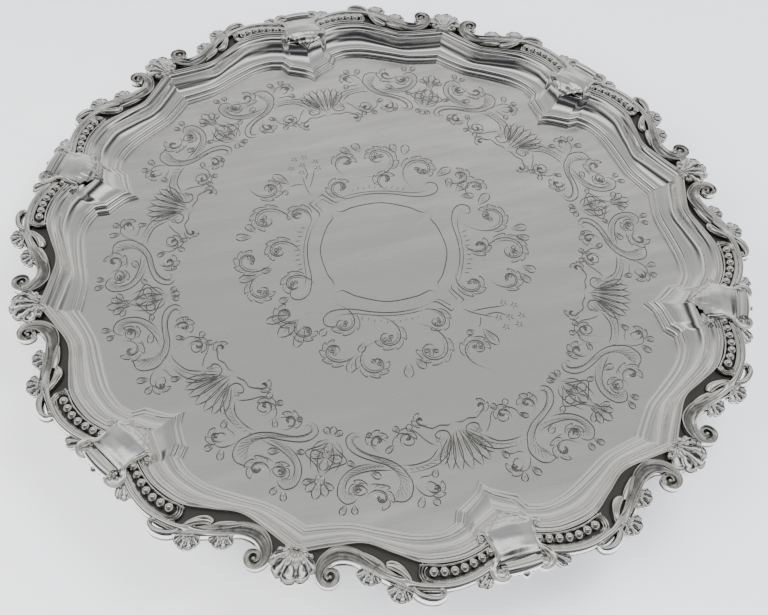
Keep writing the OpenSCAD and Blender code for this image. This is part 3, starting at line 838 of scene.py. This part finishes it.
def border_floor(shape):
    """Floor of the casting, from the rim's turned-down edge to its own outer edge, with a lip outside."""
    inner, outer = evenly(CREST_LINE, 90), evenly(OUTER_LINE, 90)
    out = unit(outer - inner)
    rows = [(inner - out * 0.3, FLOOR_Z), (inner * 0.5 + outer * 0.5, FLOOR_Z), (outer - out * 0.8, FLOOR_Z),
            (outer - out * 0.2, FLOOR_Z - 0.3), (outer, FLOOR_Z - 0.8), (outer - out * 0.4, CASTING_Z + 0.2),
            (outer - out * 1.0, CASTING_Z), (inner - out * 0.3, CASTING_Z)]
    rings = np.stack([at_height(xy, z) for xy, z in rows], axis=1)
    return loft(shape, rings)


def border_shape():
    """Left-handed casting: floor, rail and scroll, acanthus with its comma scroll, tongue and inner leaves,
    the rods on both sides of the beads, the rolled end of the bead channel and the leaf by the cartouche."""
    shape = border_floor(Shape())
    arm = smooth(ARM, 7)
    blend = keyed([(STRAP[0], 0), (STRAP[1], 1)], run_lengths(arm))[:, None, None]
    path = at_height(arm[:, :2], FLOOR_Z + (sizes().rail / MM - arm[:, 3]))
    sweep(shape, path, arm[:, 2], arm[:, 3], ROUND_STRAP[None] * (1 - blend) + STRAP_SECTION[None] * blend)
    revolve(shape, (*VOLUTE, FLOOR_Z), VOLUTE_DISC, 36)
    ball(shape, (VOLUTE[0] + 0.5, VOLUTE[1] - 0.3, FLOOR_Z + 2.5), 1.35)
    path_sweep(shape, ACANTHUS_SPINE, 8, LEAF)
    for (x, y), degrees, size in RUFFLES:
        shape.join(fan(*size).placed(degrees, shift=(x, y, FLOOR_Z)))
    path_sweep(shape, COMMA, 7, ROUND)
    ball(shape, (-47.2, 243.8, FLOOR_Z + 3.2), 1.5)
    for (base, pull, tip, half), height in ((TONGUE_LEAF, 3.5), (INNER_LEAF, 4.3)):
        lobe(shape, (base, pull, tip), half, height, FLOOR_Z, PLUMP, 20)
    sweep(shape, at_height(smooth(INNER_ROD, 8), CREST_Z - 0.5), 0.7, 1.0, ROD)
    path_sweep(shape, OUTER_SLOPE, 8, ROUND)
    sweep(shape, at_height(smooth(OUTER_THREAD, 8), FLOOR_Z + 1.3), 0.5, 1.0, ROD)
    for radius, thick in CHANNEL_RINGS:
        ring = spiral(CHANNEL_END, (radius, radius * 1.04), 100, 150, 26)
        sweep(shape, at_height(ring, FLOOR_Z + 1.5), thick, thick * 2.2, ROD)
    return shape


def bead_shape():
    """Left-handed strip and its graduated beads, at equal distances along it."""
    shape = Shape()
    line = smooth(BEAD_LINE, 8)
    sweep(shape, at_height(line, FLOOR_Z), 1.3, 0.8, relief(lambda u: 1 - 0.3 * u**4, 9, 0.0))
    count = sizes().beads
    run = run_lengths(line)
    diameters = np.linspace(sizes().bead_small / MM, sizes().bead_large / MM, count)
    at = np.linspace(1.9, run[-1] - 2.4, count)
    for s, d in zip(at, diameters):
        x, y = (np.interp(s, run, line[:, i]) for i in range(2))
        ball(shape, (x, y, FLOOR_Z + 0.3 + d * 0.47), d / 2, 12, 24)
    return shape


# Shell: hinge, reach on its axis and how much shorter its sides are, and half its spread in degrees.
SHELL_HINGE_Y = 231.4
SHELL_REACH = 21.2
SHELL_SHORTER = 7.6
SHELL_SPREAD = 66.0
SHELL_KNOBS = [
    (-4.6, 232.4, 2.3), (4.6, 232.4, 2.3), (-8.6, 234.2, 1.8), (8.6, 234.2, 1.8), (-1.2, 231.2, 1.3),
    (1.6, 231.2, 1.1),
]
SHELL_BAR = [(-9.5, 234.2), (-5, 232.8), (0, 232.2), (5, 232.8), (9.5, 234.2)]
DOME = [(0, 0.67), (0.2, 0.89), (0.45, 1), (0.75, 0.89), (1, 0.7)]
SCOOP = [(0, 0.3), (0.4, 0.9), (0.84, 1), (1, 0.5)]
FAN_RINGS = 30
FLUTE_COLUMNS = 12


def fan(flutes, reach, shorter, spread, height, scoop):
    """A fluted fan on +Y, from a hinge at the origin. A point lies at an angle and a part v of the reach from
    the hinge. The reach shortens with the square of the angle and bulges by the sine across each flute. Its
    height is a dome along v, less a scoop, 1 - (2c - 1)^2 across each flute, plus a rolled lip at the edge."""
    columns = flutes * FLUTE_COLUMNS
    c = np.linspace(0, flutes, columns + 1)
    part = c - np.floor(np.minimum(c, flutes - 1e-9))
    angle = np.radians(spread * (2 * c / flutes - 1))
    v = np.linspace(0, 1, FAN_RINGS)[:, None]
    bulge = np.abs(np.sin(math.pi * c))
    edge_reach = (reach - shorter * (2 * c / flutes - 1) ** 2) * (0.89 + 0.11 * bulge**0.6)
    radius = 0.12 * reach + (edge_reach[None] - 0.12 * reach) * v
    dome = height * keyed(DOME, v)
    cup = (1 - (2 * part[None] - 1) ** 2) * scoop * keyed(SCOOP, v)
    lip = 0.14 * height * np.exp(-(((v - 0.965) / 0.03) ** 2)) * (0.25 + 0.75 * bulge[None])
    top = np.stack([radius * np.sin(angle)[None], radius * np.cos(angle)[None], dome - cup + lip], axis=-1)
    # Walls down from the whole outline, drawn in a little, and a flat underside.
    rows, n = top.shape[:2]
    outline = grid_outline(rows, n)
    edge = top.reshape(-1, 3)[outline]
    m = len(outline)
    middle = np.array([0, 0.42 * reach])
    out = edge[:, :2] - middle
    levels = [(1, edge[:, 2]), (1.02, edge[:, 2] - 0.14 * height), (0.985, edge[:, 2] - 0.3 * height),
              (0.95, 0.1 * height), (0.9, -0.9)]
    layers = np.stack([at_height(middle + out * draw, z) for draw, z in levels])
    shape = Shape()
    shape.add(top, grid_faces(rows, n)[:, ::-1])
    shape.add(layers, grid_faces(len(layers), m, around=True)[:, ::-1])
    shape.add(np.vstack([layers[-1], layers[-1].mean(0)]), end_fan(m, 0, m)[:, ::-1])
    return shape.welded()


def shell_with_knobs():
    """The scallop with the bar and the knobs at its hinge."""
    shape = fan(sizes().flutes, SHELL_REACH, SHELL_SHORTER, SHELL_SPREAD, 6.3, 1.7)
    shape = shape.placed(0, shift=(0, SHELL_HINGE_Y, FLOOR_Z))
    for x, y, r in SHELL_KNOBS:
        ball(shape, (x, y, FLOOR_Z + 3.3), r, 12, 24)
    return sweep(shape, at_height(smooth(SHELL_BAR, 5), FLOOR_Z + 2.0), 1.5, 1.9, ROD)


# Cartouche: bracket-shaped inner lip (part of the half width, y), half widths along it, and heights.
LIP = [
    (0, 207.6), (0.09, 209.2), (0.28, 211.6), (0.4, 212.0), (0.44, 214.0), (0.68, 214.8), (0.74, 216.8),
    (1, 218.6),
]
SHIELD_WIDTH = [(0, 13.0), (0.2, 12.6), (0.45, 11.4), (0.7, 10.9), (0.9, 11.6), (1, 12.2)]
SHIELD_HEIGHT = [
    (207.5, -6.2), (210, -3.8), (213, -1.2), (217, 1.0), (222, 2.3), (228, 2.8), (234, 2.5), (238, 1.7),
    (241.2, 0.2),
]
CROWN = [(0, 0.5), (0.35, 1.5), (0.7, 1.2), (1, 0.6)]
SHIELD_OUT = 241.2
SHIELD_ROWS, SHIELD_COLUMNS = 40, 49
FRAME = [(12.9, 226.4), (11.9, 230.0), (11.8, 233.6), (12.9, 236.4)]
HOOK = [
    (14.6, 237.8), (16.8, 240.4), (17.6, 244.0), (15.6, 247.0), (12.0, 247.9), (9.2, 246.2), (9.2, 243.6),
    (11.2, 242.2),
    (13.0, 243.4),
]
# Height above the crest and half width along the curl, frame and hook.
FRAME_HEIGHT = [(0, -1.4), (0.2, -1.2), (0.34, 0.4), (0.5, 0.6), (0.62, -0.6), (1, -0.8)]
FRAME_WIDTH = [(0, 0.8), (0.14, 1.2), (0.3, 1.5), (0.45, 1.6), (0.6, 2.1), (0.85, 1.7), (1, 0.8)]
INNER_LIP = 11.2
ROLL_Y, ROLL_HALF = 244.2, 9.8
# Balls past the roll: x, y, height above the crest, radius, rings, sides.
BALLS = [(0, 247.9, -0.2, 2.5, 16, 30), (4.4, 247.2, -0.6, 1.2, 10, 16), (-4.4, 247.2, -0.6, 1.2, 10, 16)]
BLOCK = [(10.5, 226.1), (10.5, 242.6), (-10.5, 242.6), (-10.5, 226.1)]
CURL = (16.3, 222.4)


def shield_surface(grow=0.0, drop=0.0):
    """The shield as a function of u across it and v along it: y runs from the bracket-shaped lip to the roll,
    x is u times the half width, and the height follows the keys along y, plus a dome across it, 1 - u^2, that
    fades toward both ends."""
    u = np.linspace(-1, 1, SHIELD_COLUMNS)[None, :]
    v = np.linspace(0, 1, SHIELD_ROWS)[:, None]
    lip = np.interp(np.abs(u), [p[0] for p in LIP], [p[1] for p in LIP]) - grow
    y = lip + (SHIELD_OUT - lip) * v
    x = u * (keyed(SHIELD_WIDTH, v) + grow)
    z = CREST_Z + keyed(SHIELD_HEIGHT, y) + keyed(CROWN, v) * (1 - u**2) + 0.7 - drop
    return np.stack([x, y, z], axis=-1)


def shield_shape():
    """The shield with a wall round it and an underside one thickness lower."""
    top, low = shield_surface(), shield_surface(-0.25, 1.4)
    rows, n = top.shape[:2]
    shape = Shape()
    shape.add(top, grid_faces(rows, n)[:, ::-1])
    shape.add(low, grid_faces(rows, n))
    outline = grid_outline(rows, n)
    walls = np.stack([top.reshape(-1, 3)[outline], low.reshape(-1, 3)[outline]])
    shape.add(walls, grid_faces(2, len(outline), around=True)[:, ::-1])
    return shape.welded()


def cartouche_shape():
    """Shield, second edge inside its lip, frames that end in a hook and a curl, roll, balls and block."""
    shape = shield_shape()
    half = [(p[0] * INNER_LIP, p[1] + 1.5) for p in LIP]
    lip = evenly(np.array([(-x, y) for x, y in half[::-1]] + half[1:]), 60)
    z = CREST_Z + keyed(SHIELD_HEIGHT, lip[:, 1]) + 0.75 + 0.7 * (1 - (lip[:, 0] / INNER_LIP) ** 2)
    sweep(shape, at_height(lip, z), 0.4, 0.45, ROD)
    for side in (-1, 1):
        curl = spiral(CURL, (0.9, 3.0), 510, -345, 24)
        path = np.vstack([curl, smooth(np.vstack([curl[-1:], FRAME, HOOK]), 6)[1:]])
        t = run_lengths(path)
        t = t / t[-1]
        path = at_height(path * (side, 1), CREST_Z + keyed(FRAME_HEIGHT, t))
        sweep(shape, path, keyed(FRAME_WIDTH, t), 2.9, EDGE)
        ball(shape, (CURL[0] * side, CURL[1], CREST_Z - 0.2), 1.3, 10, 16)
        ball(shape, (13.0 * side, ROLL_Y, CREST_Z - 1.6), 4.2, 10, 24, 0.5)
    x = np.linspace(-ROLL_HALF, ROLL_HALF, 41)
    sag = (x / ROLL_HALF) ** 2
    radius = 3.8 - 0.4 * sag
    sweep(shape, at_height(np.column_stack([x, ROLL_Y - 0.5 * sag]), CREST_Z + 0.9), radius, radius, ROD24)
    for x, y, above, radius, rings, sides in BALLS:
        ball(shape, (x, y, CREST_Z + above), radius, rings, sides)
    return loft(shape, np.stack([at_height(BLOCK, z) for z in (FLOOR_Z, CREST_Z + 0.9)]))


# ---------------------------------------------------------------- finishes


def add_node(tree, kind, inputs=(), **settings):
    """Adds a shader node, sets it up and fills its inputs, each from a value or from a node's output."""
    made = tree.nodes.new("ShaderNode" + kind)
    for key, value in settings.items():
        setattr(made, key, value)
    for key, value in dict(inputs).items():
        if isinstance(value, bpy.types.NodeSocket):
            tree.links.new(value, made.inputs[key])
        else:
            made.inputs[key].default_value = value
    return made


def empty_tree(owner):
    """The owner's node tree, emptied, as the function that adds a node to it."""
    owner.use_nodes = True
    owner.node_tree.nodes.clear()
    return functools.partial(add_node, owner.node_tree)


def rgba(value):
    return (*tuple(value)[:3], 1.0)


SCRATCH = 0.02  # depth of the fine polishing scratches, mm
STREAK_TURN = math.radians(-14)


def sterling(name, roughness, dark=None, stretch=(1, 1, 1), wave=0.0, wave_scale=12.0, worn=0.5, patchy=1.2):
    """Sterling silver: a near-white metal whose gloss changes with wear. `dark` gives the heights, in mm,
    between which the recesses clear of their dark colour, give or take `patchy`, and how clear they start. That
    dark is painted shade as well as the sulphide of tarnished silver. `wave` is the height in mm of the
    unevenness left by the hammer."""
    material = bpy.data.materials.new(name)
    node = empty_tree(material)
    place = node("TexCoord").outputs["Object"]
    streaked = node("Mapping", {"Vector": place, "Scale": stretch, "Rotation": (0, 0, STREAK_TURN)}).outputs[0]
    smudge = node("TexNoise", {"Vector": streaked, "Scale": 22.0, "Detail": 5.0}).outputs["Fac"]
    fine = node("TexNoise", {"Vector": place, "Scale": 900.0, "Detail": 2.0})
    wear = node("MapRange", {"Value": smudge, "From Min": 0.38, "From Max": 0.66, "To Max": worn})
    tones = {6: rgba(colours().silver), 7: rgba(colours().worn)}
    colour_out = node("Mix", {0: wear.outputs[0], **tones}, data_type="RGBA").outputs[2]
    rough_out = node("MapRange", {"Value": smudge, "From Min": 0.35, "From Max": 0.7,
                                  "To Min": roughness * 0.8, "To Max": roughness * 1.35}).outputs[0]
    # Painted shade with real tarnish: below the `dark` heights the colour turns to the tarnish colour and the
    # gloss dulls. This stands in for the sulphide in the recesses and also for the shade that falls in them.
    if dark:
        height = node("SeparateXYZ", {"Vector": place}).outputs["Z"]
        patch = node("TexNoise", {"Vector": place, "Scale": 260.0, "Detail": 3.0})
        shift = node("Math", {0: patch.outputs["Fac"], 1: 0.5}, operation="SUBTRACT")
        level = node("Math", {0: shift.outputs[0], 1: patchy * MM, 2: height}, operation="MULTIPLY_ADD")
        low, high, start = dark
        clear = node("MapRange", {"Value": level.outputs[0], "From Min": low * MM, "From Max": high * MM,
                                  "To Min": start}, interpolation_type="SMOOTHSTEP").outputs[0]
        oxide_and_shade_mix = node("Mix", {0: clear, 6: rgba(colours().tarnish_and_shade), 7: colour_out}, data_type="RGBA")
        dull = node("Mix", {0: clear, 2: 0.5, 3: rough_out})
        colour_out, rough_out = oxide_and_shade_mix.outputs[2], dull.outputs[0]
    bump = node("Bump", {"Height": fine.outputs["Fac"], "Strength": 1.0, "Distance": SCRATCH * MM})
    if wave:
        dent = node("TexNoise", {"Vector": streaked, "Scale": wave_scale, "Detail": 1.5, "Roughness": 0.4})
        bump = node("Bump", {"Height": dent.outputs["Fac"], "Strength": 1.0, "Distance": wave * MM,
                             "Normal": bump.outputs[0]})
    shader = node("BsdfPrincipled", {"Base Color": colour_out, "Roughness": rough_out, "Metallic": 1.0,
                                     "Normal": bump.outputs[0]})
    node("OutputMaterial", {"Surface": shader.outputs[0]})
    return material


def painted_table():
    """Pale painted board: nearly matt, with a faint mottle a hand's breadth across."""
    material = bpy.data.materials.new("pale_painted_board")
    node = empty_tree(material)
    place = node("TexCoord").outputs["Object"]
    mottle = node("TexNoise", {"Vector": place, "Scale": 9.0, "Detail": 3.0})
    tones = {6: rgba(colours().table), 7: rgba([c * 0.93 for c in colours().table])}
    tone = node("Mix", {0: mottle.outputs["Fac"], **tones}, data_type="RGBA")
    shader = node("BsdfPrincipled", {"Base Color": tone.outputs[2], "Roughness": 0.55})
    node("OutputMaterial", {"Surface": shader.outputs[0]})
    return material


# ---------------------------------------------------------------- stage

EYE = (-155.2, -371.6, 514.9)
AIM = (-32.6, -41.2, 24.0)
ROLL = -4.3
LENS, SHIFT_X, SHIFT_Y = 41.9, 0.0355, -0.0027

# Softboxes: place (mm), where each faces, width and length (mm), watts, and tint.
SOFTBOXES = [
    ((-350, -1150, 1300), (0, 0, 0), 900, 1100, 48, "#FFFFFF"),
    ((900, 300, 1300), (0, 0, 0), 900, 1000, 38, "#F7F9FF"),
    ((-1250, 100, 1000), (0, 0, 0), 900, 1000, 36, "#FFFDF8"),
]


def view_matrix():
    """The camera's matrix: it looks from EYE at AIM with +Z up, then is rolled about its own axis."""
    eye, aim = (Vector(p) * MM for p in (EYE, AIM))
    forward = (aim - eye).normalized()
    right = forward.cross(Vector((0, 0, 1))).normalized()
    up = right.cross(forward)
    roll = math.radians(ROLL)
    x = right * math.cos(roll) - up * math.sin(roll)
    y = right * math.sin(roll) + up * math.cos(roll)
    turn = Matrix((x, y, -forward)).transposed().to_4x4()
    return Matrix.Translation(eye) @ turn


def make_camera():
    camera = bpy.data.objects.new("camera", bpy.data.cameras.new("camera"))
    bpy.context.scene.collection.objects.link(camera)
    camera.data.lens, camera.data.sensor_width = LENS, 36
    camera.data.shift_x, camera.data.shift_y = SHIFT_X, SHIFT_Y
    camera.data.clip_start = 0.01
    camera.matrix_world = view_matrix()
    bpy.context.scene.camera = camera


def make_lights():
    """Softboxes that light the table and stay out of the silver's reflections, which come from the room."""
    for i, (place, aim, wide, tall, watts, tint) in enumerate(SOFTBOXES):
        light = bpy.data.lights.new(f"softbox_{i + 1}", "AREA")
        light.shape = "RECTANGLE"
        light.size, light.size_y, light.energy = wide * MM, tall * MM, watts
        light.color = hex_to_linear(tint)
        lamp = bpy.data.objects.new(light.name, light)
        lamp.visible_glossy = False
        bpy.context.scene.collection.objects.link(lamp)
        lamp.location = Vector(place) * MM
        lamp.rotation_euler = (Vector(aim) - Vector(place)).to_track_quat("-Z", "Y").to_euler()


# Tone of the room along the half circle from the horizon beyond the salver, over the zenith, to the horizon
# behind the eye, and from the horizon up at either side: (part of the way, colour).
ROOM = [
    (0.0, "#9A9B9D"), (0.05, "#CCCCCE"), (0.1, "#A6A6A8"), (0.15, "#D2D2D3"), (0.2, "#BDBDBE"),
    (0.25, "#A2A2A3"), (0.3, "#949596"), (0.35, "#8A8B8E"), (0.4, "#A2A3A5"), (0.45, "#E6E6E6"),
    (0.5, "#FAFAFA"), (0.54, "#C4C4C4"), (0.58, "#47474A"), (0.64, "#26272A"), (0.74, "#3A3B3E"),
    (0.78, "#97989A"), (0.81, "#56575A"), (0.88, "#242529"), (0.95, "#38393D"), (1.0, "#6A6B6E"),
]
SIDES = [
    (0.0, "#77787B"), (0.1, "#BDBDBE"), (0.2, "#DADADA"), (0.3, "#8B8C8E"), (0.42, "#333438"),
    (0.62, "#2C2D31"), (0.72, "#B5B5B6"), (0.84, "#F0F0F0"), (1.0, "#F4F4F4"),
]
ROOM_STRENGTH = 1.6
BEYOND, BESIDE = (0.342, 0.94, 0.0), (0.94, -0.342, 0.0)


def fill_ramp(made, tones):
    """Gives a colour ramp its tones, each an element at its part of the way."""
    ends = made.color_ramp.elements
    for element, (place, tone) in zip((ends[0], ends[1]), (tones[0], tones[-1])):
        element.position, element.color = place, rgba(hex_to_linear(tone))
    for place, tone in tones[1:-1]:
        ends.new(place).color = rgba(hex_to_linear(tone))
    return made.outputs[0]


def make_room():
    """A room whose tone depends on the angle, in the upright plane through the eye and the salver, from the
    horizon beyond it, and on the height at the two sides. A broad noise breaks up the bands."""
    world = bpy.data.worlds.new("studio")
    bpy.context.scene.world = world
    node = empty_tree(world)
    direction = node("TexCoord").outputs["Generated"]
    height = node("SeparateXYZ", {"Vector": direction}).outputs["Z"]
    height = node("Math", {0: height, 1: 0.0}, operation="MAXIMUM").outputs[0]
    away, side = (node("VectorMath", {0: direction, 1: way}, operation="DOT_PRODUCT").outputs["Value"]
                  for way in (BEYOND, BESIDE))
    cloud = node("TexNoise", {"Vector": direction, "Scale": 2.6, "Detail": 2.0}).outputs["Fac"]
    drift = node("MapRange", {"Value": cloud, "To Min": -0.07, "To Max": 0.07}).outputs[0]
    angle = node("Math", {0: height, 1: away}, operation="ARCTAN2").outputs[0]
    part = node("Math", {0: angle, 1: 1 / math.pi, 2: drift}, operation="MULTIPLY_ADD").outputs[0]
    level = node("Math", {0: height, 1: drift}, operation="ADD").outputs[0]
    beside = node("Math", {0: side, 1: side}, operation="MULTIPLY").outputs[0]
    turned_away = node("MapRange", {"Value": beside, "From Min": 0.1, "From Max": 0.7}).outputs[0]
    room = fill_ramp(node("ValToRGB", {"Fac": part}), ROOM)
    sides = fill_ramp(node("ValToRGB", {"Fac": level}), SIDES)
    tone = node("Mix", {0: turned_away, 6: room, 7: sides}, data_type="RGBA")
    glow = node("Background", {"Color": tone.outputs[2], "Strength": ROOM_STRENGTH})
    node("OutputWorld", {"Surface": glow.outputs[0]})


def make_floor():
    """The table: a flat square grid."""
    a = np.linspace(-2500, 2500, 11)
    x, y = np.meshgrid(a, a)
    mesh = bpy.data.meshes.new("table_top")
    corners = np.stack([x, y, 0 * x], axis=-1).reshape(-1, 3) * MM
    mesh.from_pydata(corners.tolist(), [], grid_faces(11, 11).tolist())
    mesh.flip_normals()
    mesh.materials.append(painted_table())
    table = bpy.data.objects.new("table_top", mesh)
    bpy.context.scene.collection.objects.link(table)


# ---------------------------------------------------------------- operators


def sizes():
    return bpy.context.scene.salver_sizes


def colours():
    return bpy.context.scene.salver_colours


class SALVER_OT_stage(bpy.types.Operator):
    """Camera, softboxes, room and table"""

    bl_idname = "salver.stage"
    bl_label = "Stage"

    def execute(self, context):
        make_camera()
        make_lights()
        make_room()
        make_floor()
        return {"FINISHED"}


class SALVER_OT_rim(bpy.types.Operator):
    """Moulded rim of the plate"""

    bl_idname = "salver.rim"
    bl_label = "Rim"

    def execute(self, context):
        # Sterling, spun and burnished: bright, with long soft bands.
        finish = sterling("burnished_sterling", 0.12, wave=0.03, wave_scale=30, worn=0.4)
        make_piece("rim_mouldings", rim_shape(), finish, ["plate"], sharp=30)
        return {"FINISHED"}


class SALVER_OT_field(bpy.types.Operator):
    """Engraved field of the plate"""

    bl_idname = "salver.field"
    bl_label = "Engraved field"

    def execute(self, context):
        # Sterling, hand raised and worn: satin, with soft streaks; the engraved lines are darkened as tarnish
        # and as painted shade in the grooves.
        finish = sterling("worn_engraved_sterling", 0.26, dark=(FIELD_Z - 0.42, FIELD_Z - 0.02, 0.32),
                          stretch=(1, 6, 1), wave=1.1, wave_scale=7, worn=0.8, patchy=0.08)
        # The band's engraving is in two halves only to keep each mesh light.
        for half, lobes in ((1, range(3)), (2, range(3, LOBES))):
            make_piece(f"engraved_band_{half}", band_sheet(lobes), finish, ["plate"], flat=True)
        make_piece("engraved_centre", centre_sheet(), finish, ["plate"], flat=True)
        return {"FINISHED"}


class SALVER_OT_borders(bpy.types.Operator):
    """Cast scroll borders"""

    bl_idname = "salver.borders"
    bl_label = "Borders"

    def execute(self, context):
        # Cast sterling, chased and oxidised: bright on the high parts, nearly black below, where oxide and
        # painted shade darken the recesses.
        finish = sterling("oxidised_and_painted_shade_cast_sterling", 0.1, dark=(FLOOR_Z + 0.2, FLOOR_Z + 2.2, 0.12), worn=0.3)
        cast_pair("border", border_shape(), finish)
        return {"FINISHED"}


class SALVER_OT_beads(bpy.types.Operator):
    """Graduated bead strips"""

    bl_idname = "salver.beads"
    bl_label = "Beads"

    def execute(self, context):
        # Cast sterling, rubbed bright by cloths: each bead a small mirror, with a dark ring round its foot,
        # which is painted shade where it meets the strip, with tarnish.
        finish = sterling("polished_bead_sterling", 0.07, dark=(FLOOR_Z - 0.2, FLOOR_Z + 2.0, 0.15), worn=0.2)
        cast_pair("beads", bead_shape(), finish)
        return {"FINISHED"}


class SALVER_OT_shells(bpy.types.Operator):
    """Scallop shells over the joints between lobes"""

    bl_idname = "salver.shells"
    bl_label = "Shells"

    def execute(self, context):
        # Cast sterling, chased and polished: bright ribs and edge, greyer toward the foot of the scoops, where
        # tarnish and painted shade darken the low parts.
        finish = sterling("polished_shell_sterling", 0.09, dark=(FLOOR_Z - 0.8, FLOOR_Z + 2.2, 0.15), worn=0.3)
        shape = shell_with_knobs()
        for k in range(LOBES):
            placed = shape.placed(lobe_turn(k) - PITCH / 2)
            make_piece(f"scallop_shell_{k + 1}", placed, finish, [f"shell_{k + 1}"])
        return {"FINISHED"}


class SALVER_OT_cartouches(bpy.types.Operator):
    """Plain shield cartouches"""

    bl_idname = "salver.cartouches"
    bl_label = "Cartouches"

    def execute(self, context):
        # Cast sterling, burnished plain: nearly a mirror, dark only low down where it meets the casting, as
        # painted shade with tarnish.
        finish = sterling("polished_shield_sterling", 0.09, dark=(FLOOR_Z - 2.5, FLOOR_Z + 1.2, 0.15), worn=0.3)
        shape = cartouche_shape()
        for k in range(LOBES):
            name = f"cartouche_{k + 1}"
            make_piece(f"shield_{name}", shape.placed(lobe_turn(k)), finish, [name])
        return {"FINISHED"}


class SALVER_OT_feet(bpy.types.Operator):
    """Finish of the scroll feet"""

    bl_idname = "salver.feet"
    bl_label = "Feet"

    def execute(self, context):
        # Cast sterling, filed and then dulled by years on tables: greyer and softer than the top.
        # Its lowest few mm, by the table, are darkened as painted shade with tarnish.
        finish = sterling("cast_foot_sterling", 0.2, dark=(-2.0, 3.0, 0.5), worn=0.8)
        for k in range(LOBES):
            for material_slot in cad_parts[f"foot_{k + 1}"].material_slots:
                material_slot.material = finish
        return {"FINISHED"}


OPERATORS = (
    SALVER_OT_stage, SALVER_OT_rim, SALVER_OT_field, SALVER_OT_borders, SALVER_OT_beads, SALVER_OT_shells,
    SALVER_OT_cartouches, SALVER_OT_feet,
)


class SALVER_PT_panel(bpy.types.Panel):
    """Lists the salver's sizes, colours and pieces"""

    bl_idname = "SALVER_PT_panel"
    bl_label = "Silver Salver"
    bl_space_type = "VIEW_3D"
    bl_region_type = "UI"
    bl_category = "Salver"

    def draw(self, context):
        for group in (context.scene.salver_sizes, context.scene.salver_colours):
            for name in group.__annotations__:
                self.layout.prop(group, name)
        for operator in OPERATORS:
            self.layout.operator(operator.bl_idname)


CLASSES = (SalverSizes, SalverColours, *OPERATORS, SALVER_PT_panel)


def register():
    for cls in CLASSES:
        bpy.utils.register_class(cls)
    bpy.types.Scene.salver_sizes = PointerProperty(type=SalverSizes)
    bpy.types.Scene.salver_colours = PointerProperty(type=SalverColours)


def unregister():
    del bpy.types.Scene.salver_colours
    del bpy.types.Scene.salver_sizes
    for cls in reversed(CLASSES):
        bpy.utils.unregister_class(cls)


def main():
    register()
    for operator in OPERATORS:
        group, name = operator.bl_idname.split(".")
        getattr(getattr(bpy.ops, group), name)()


if __name__ == "__main__":
    main()
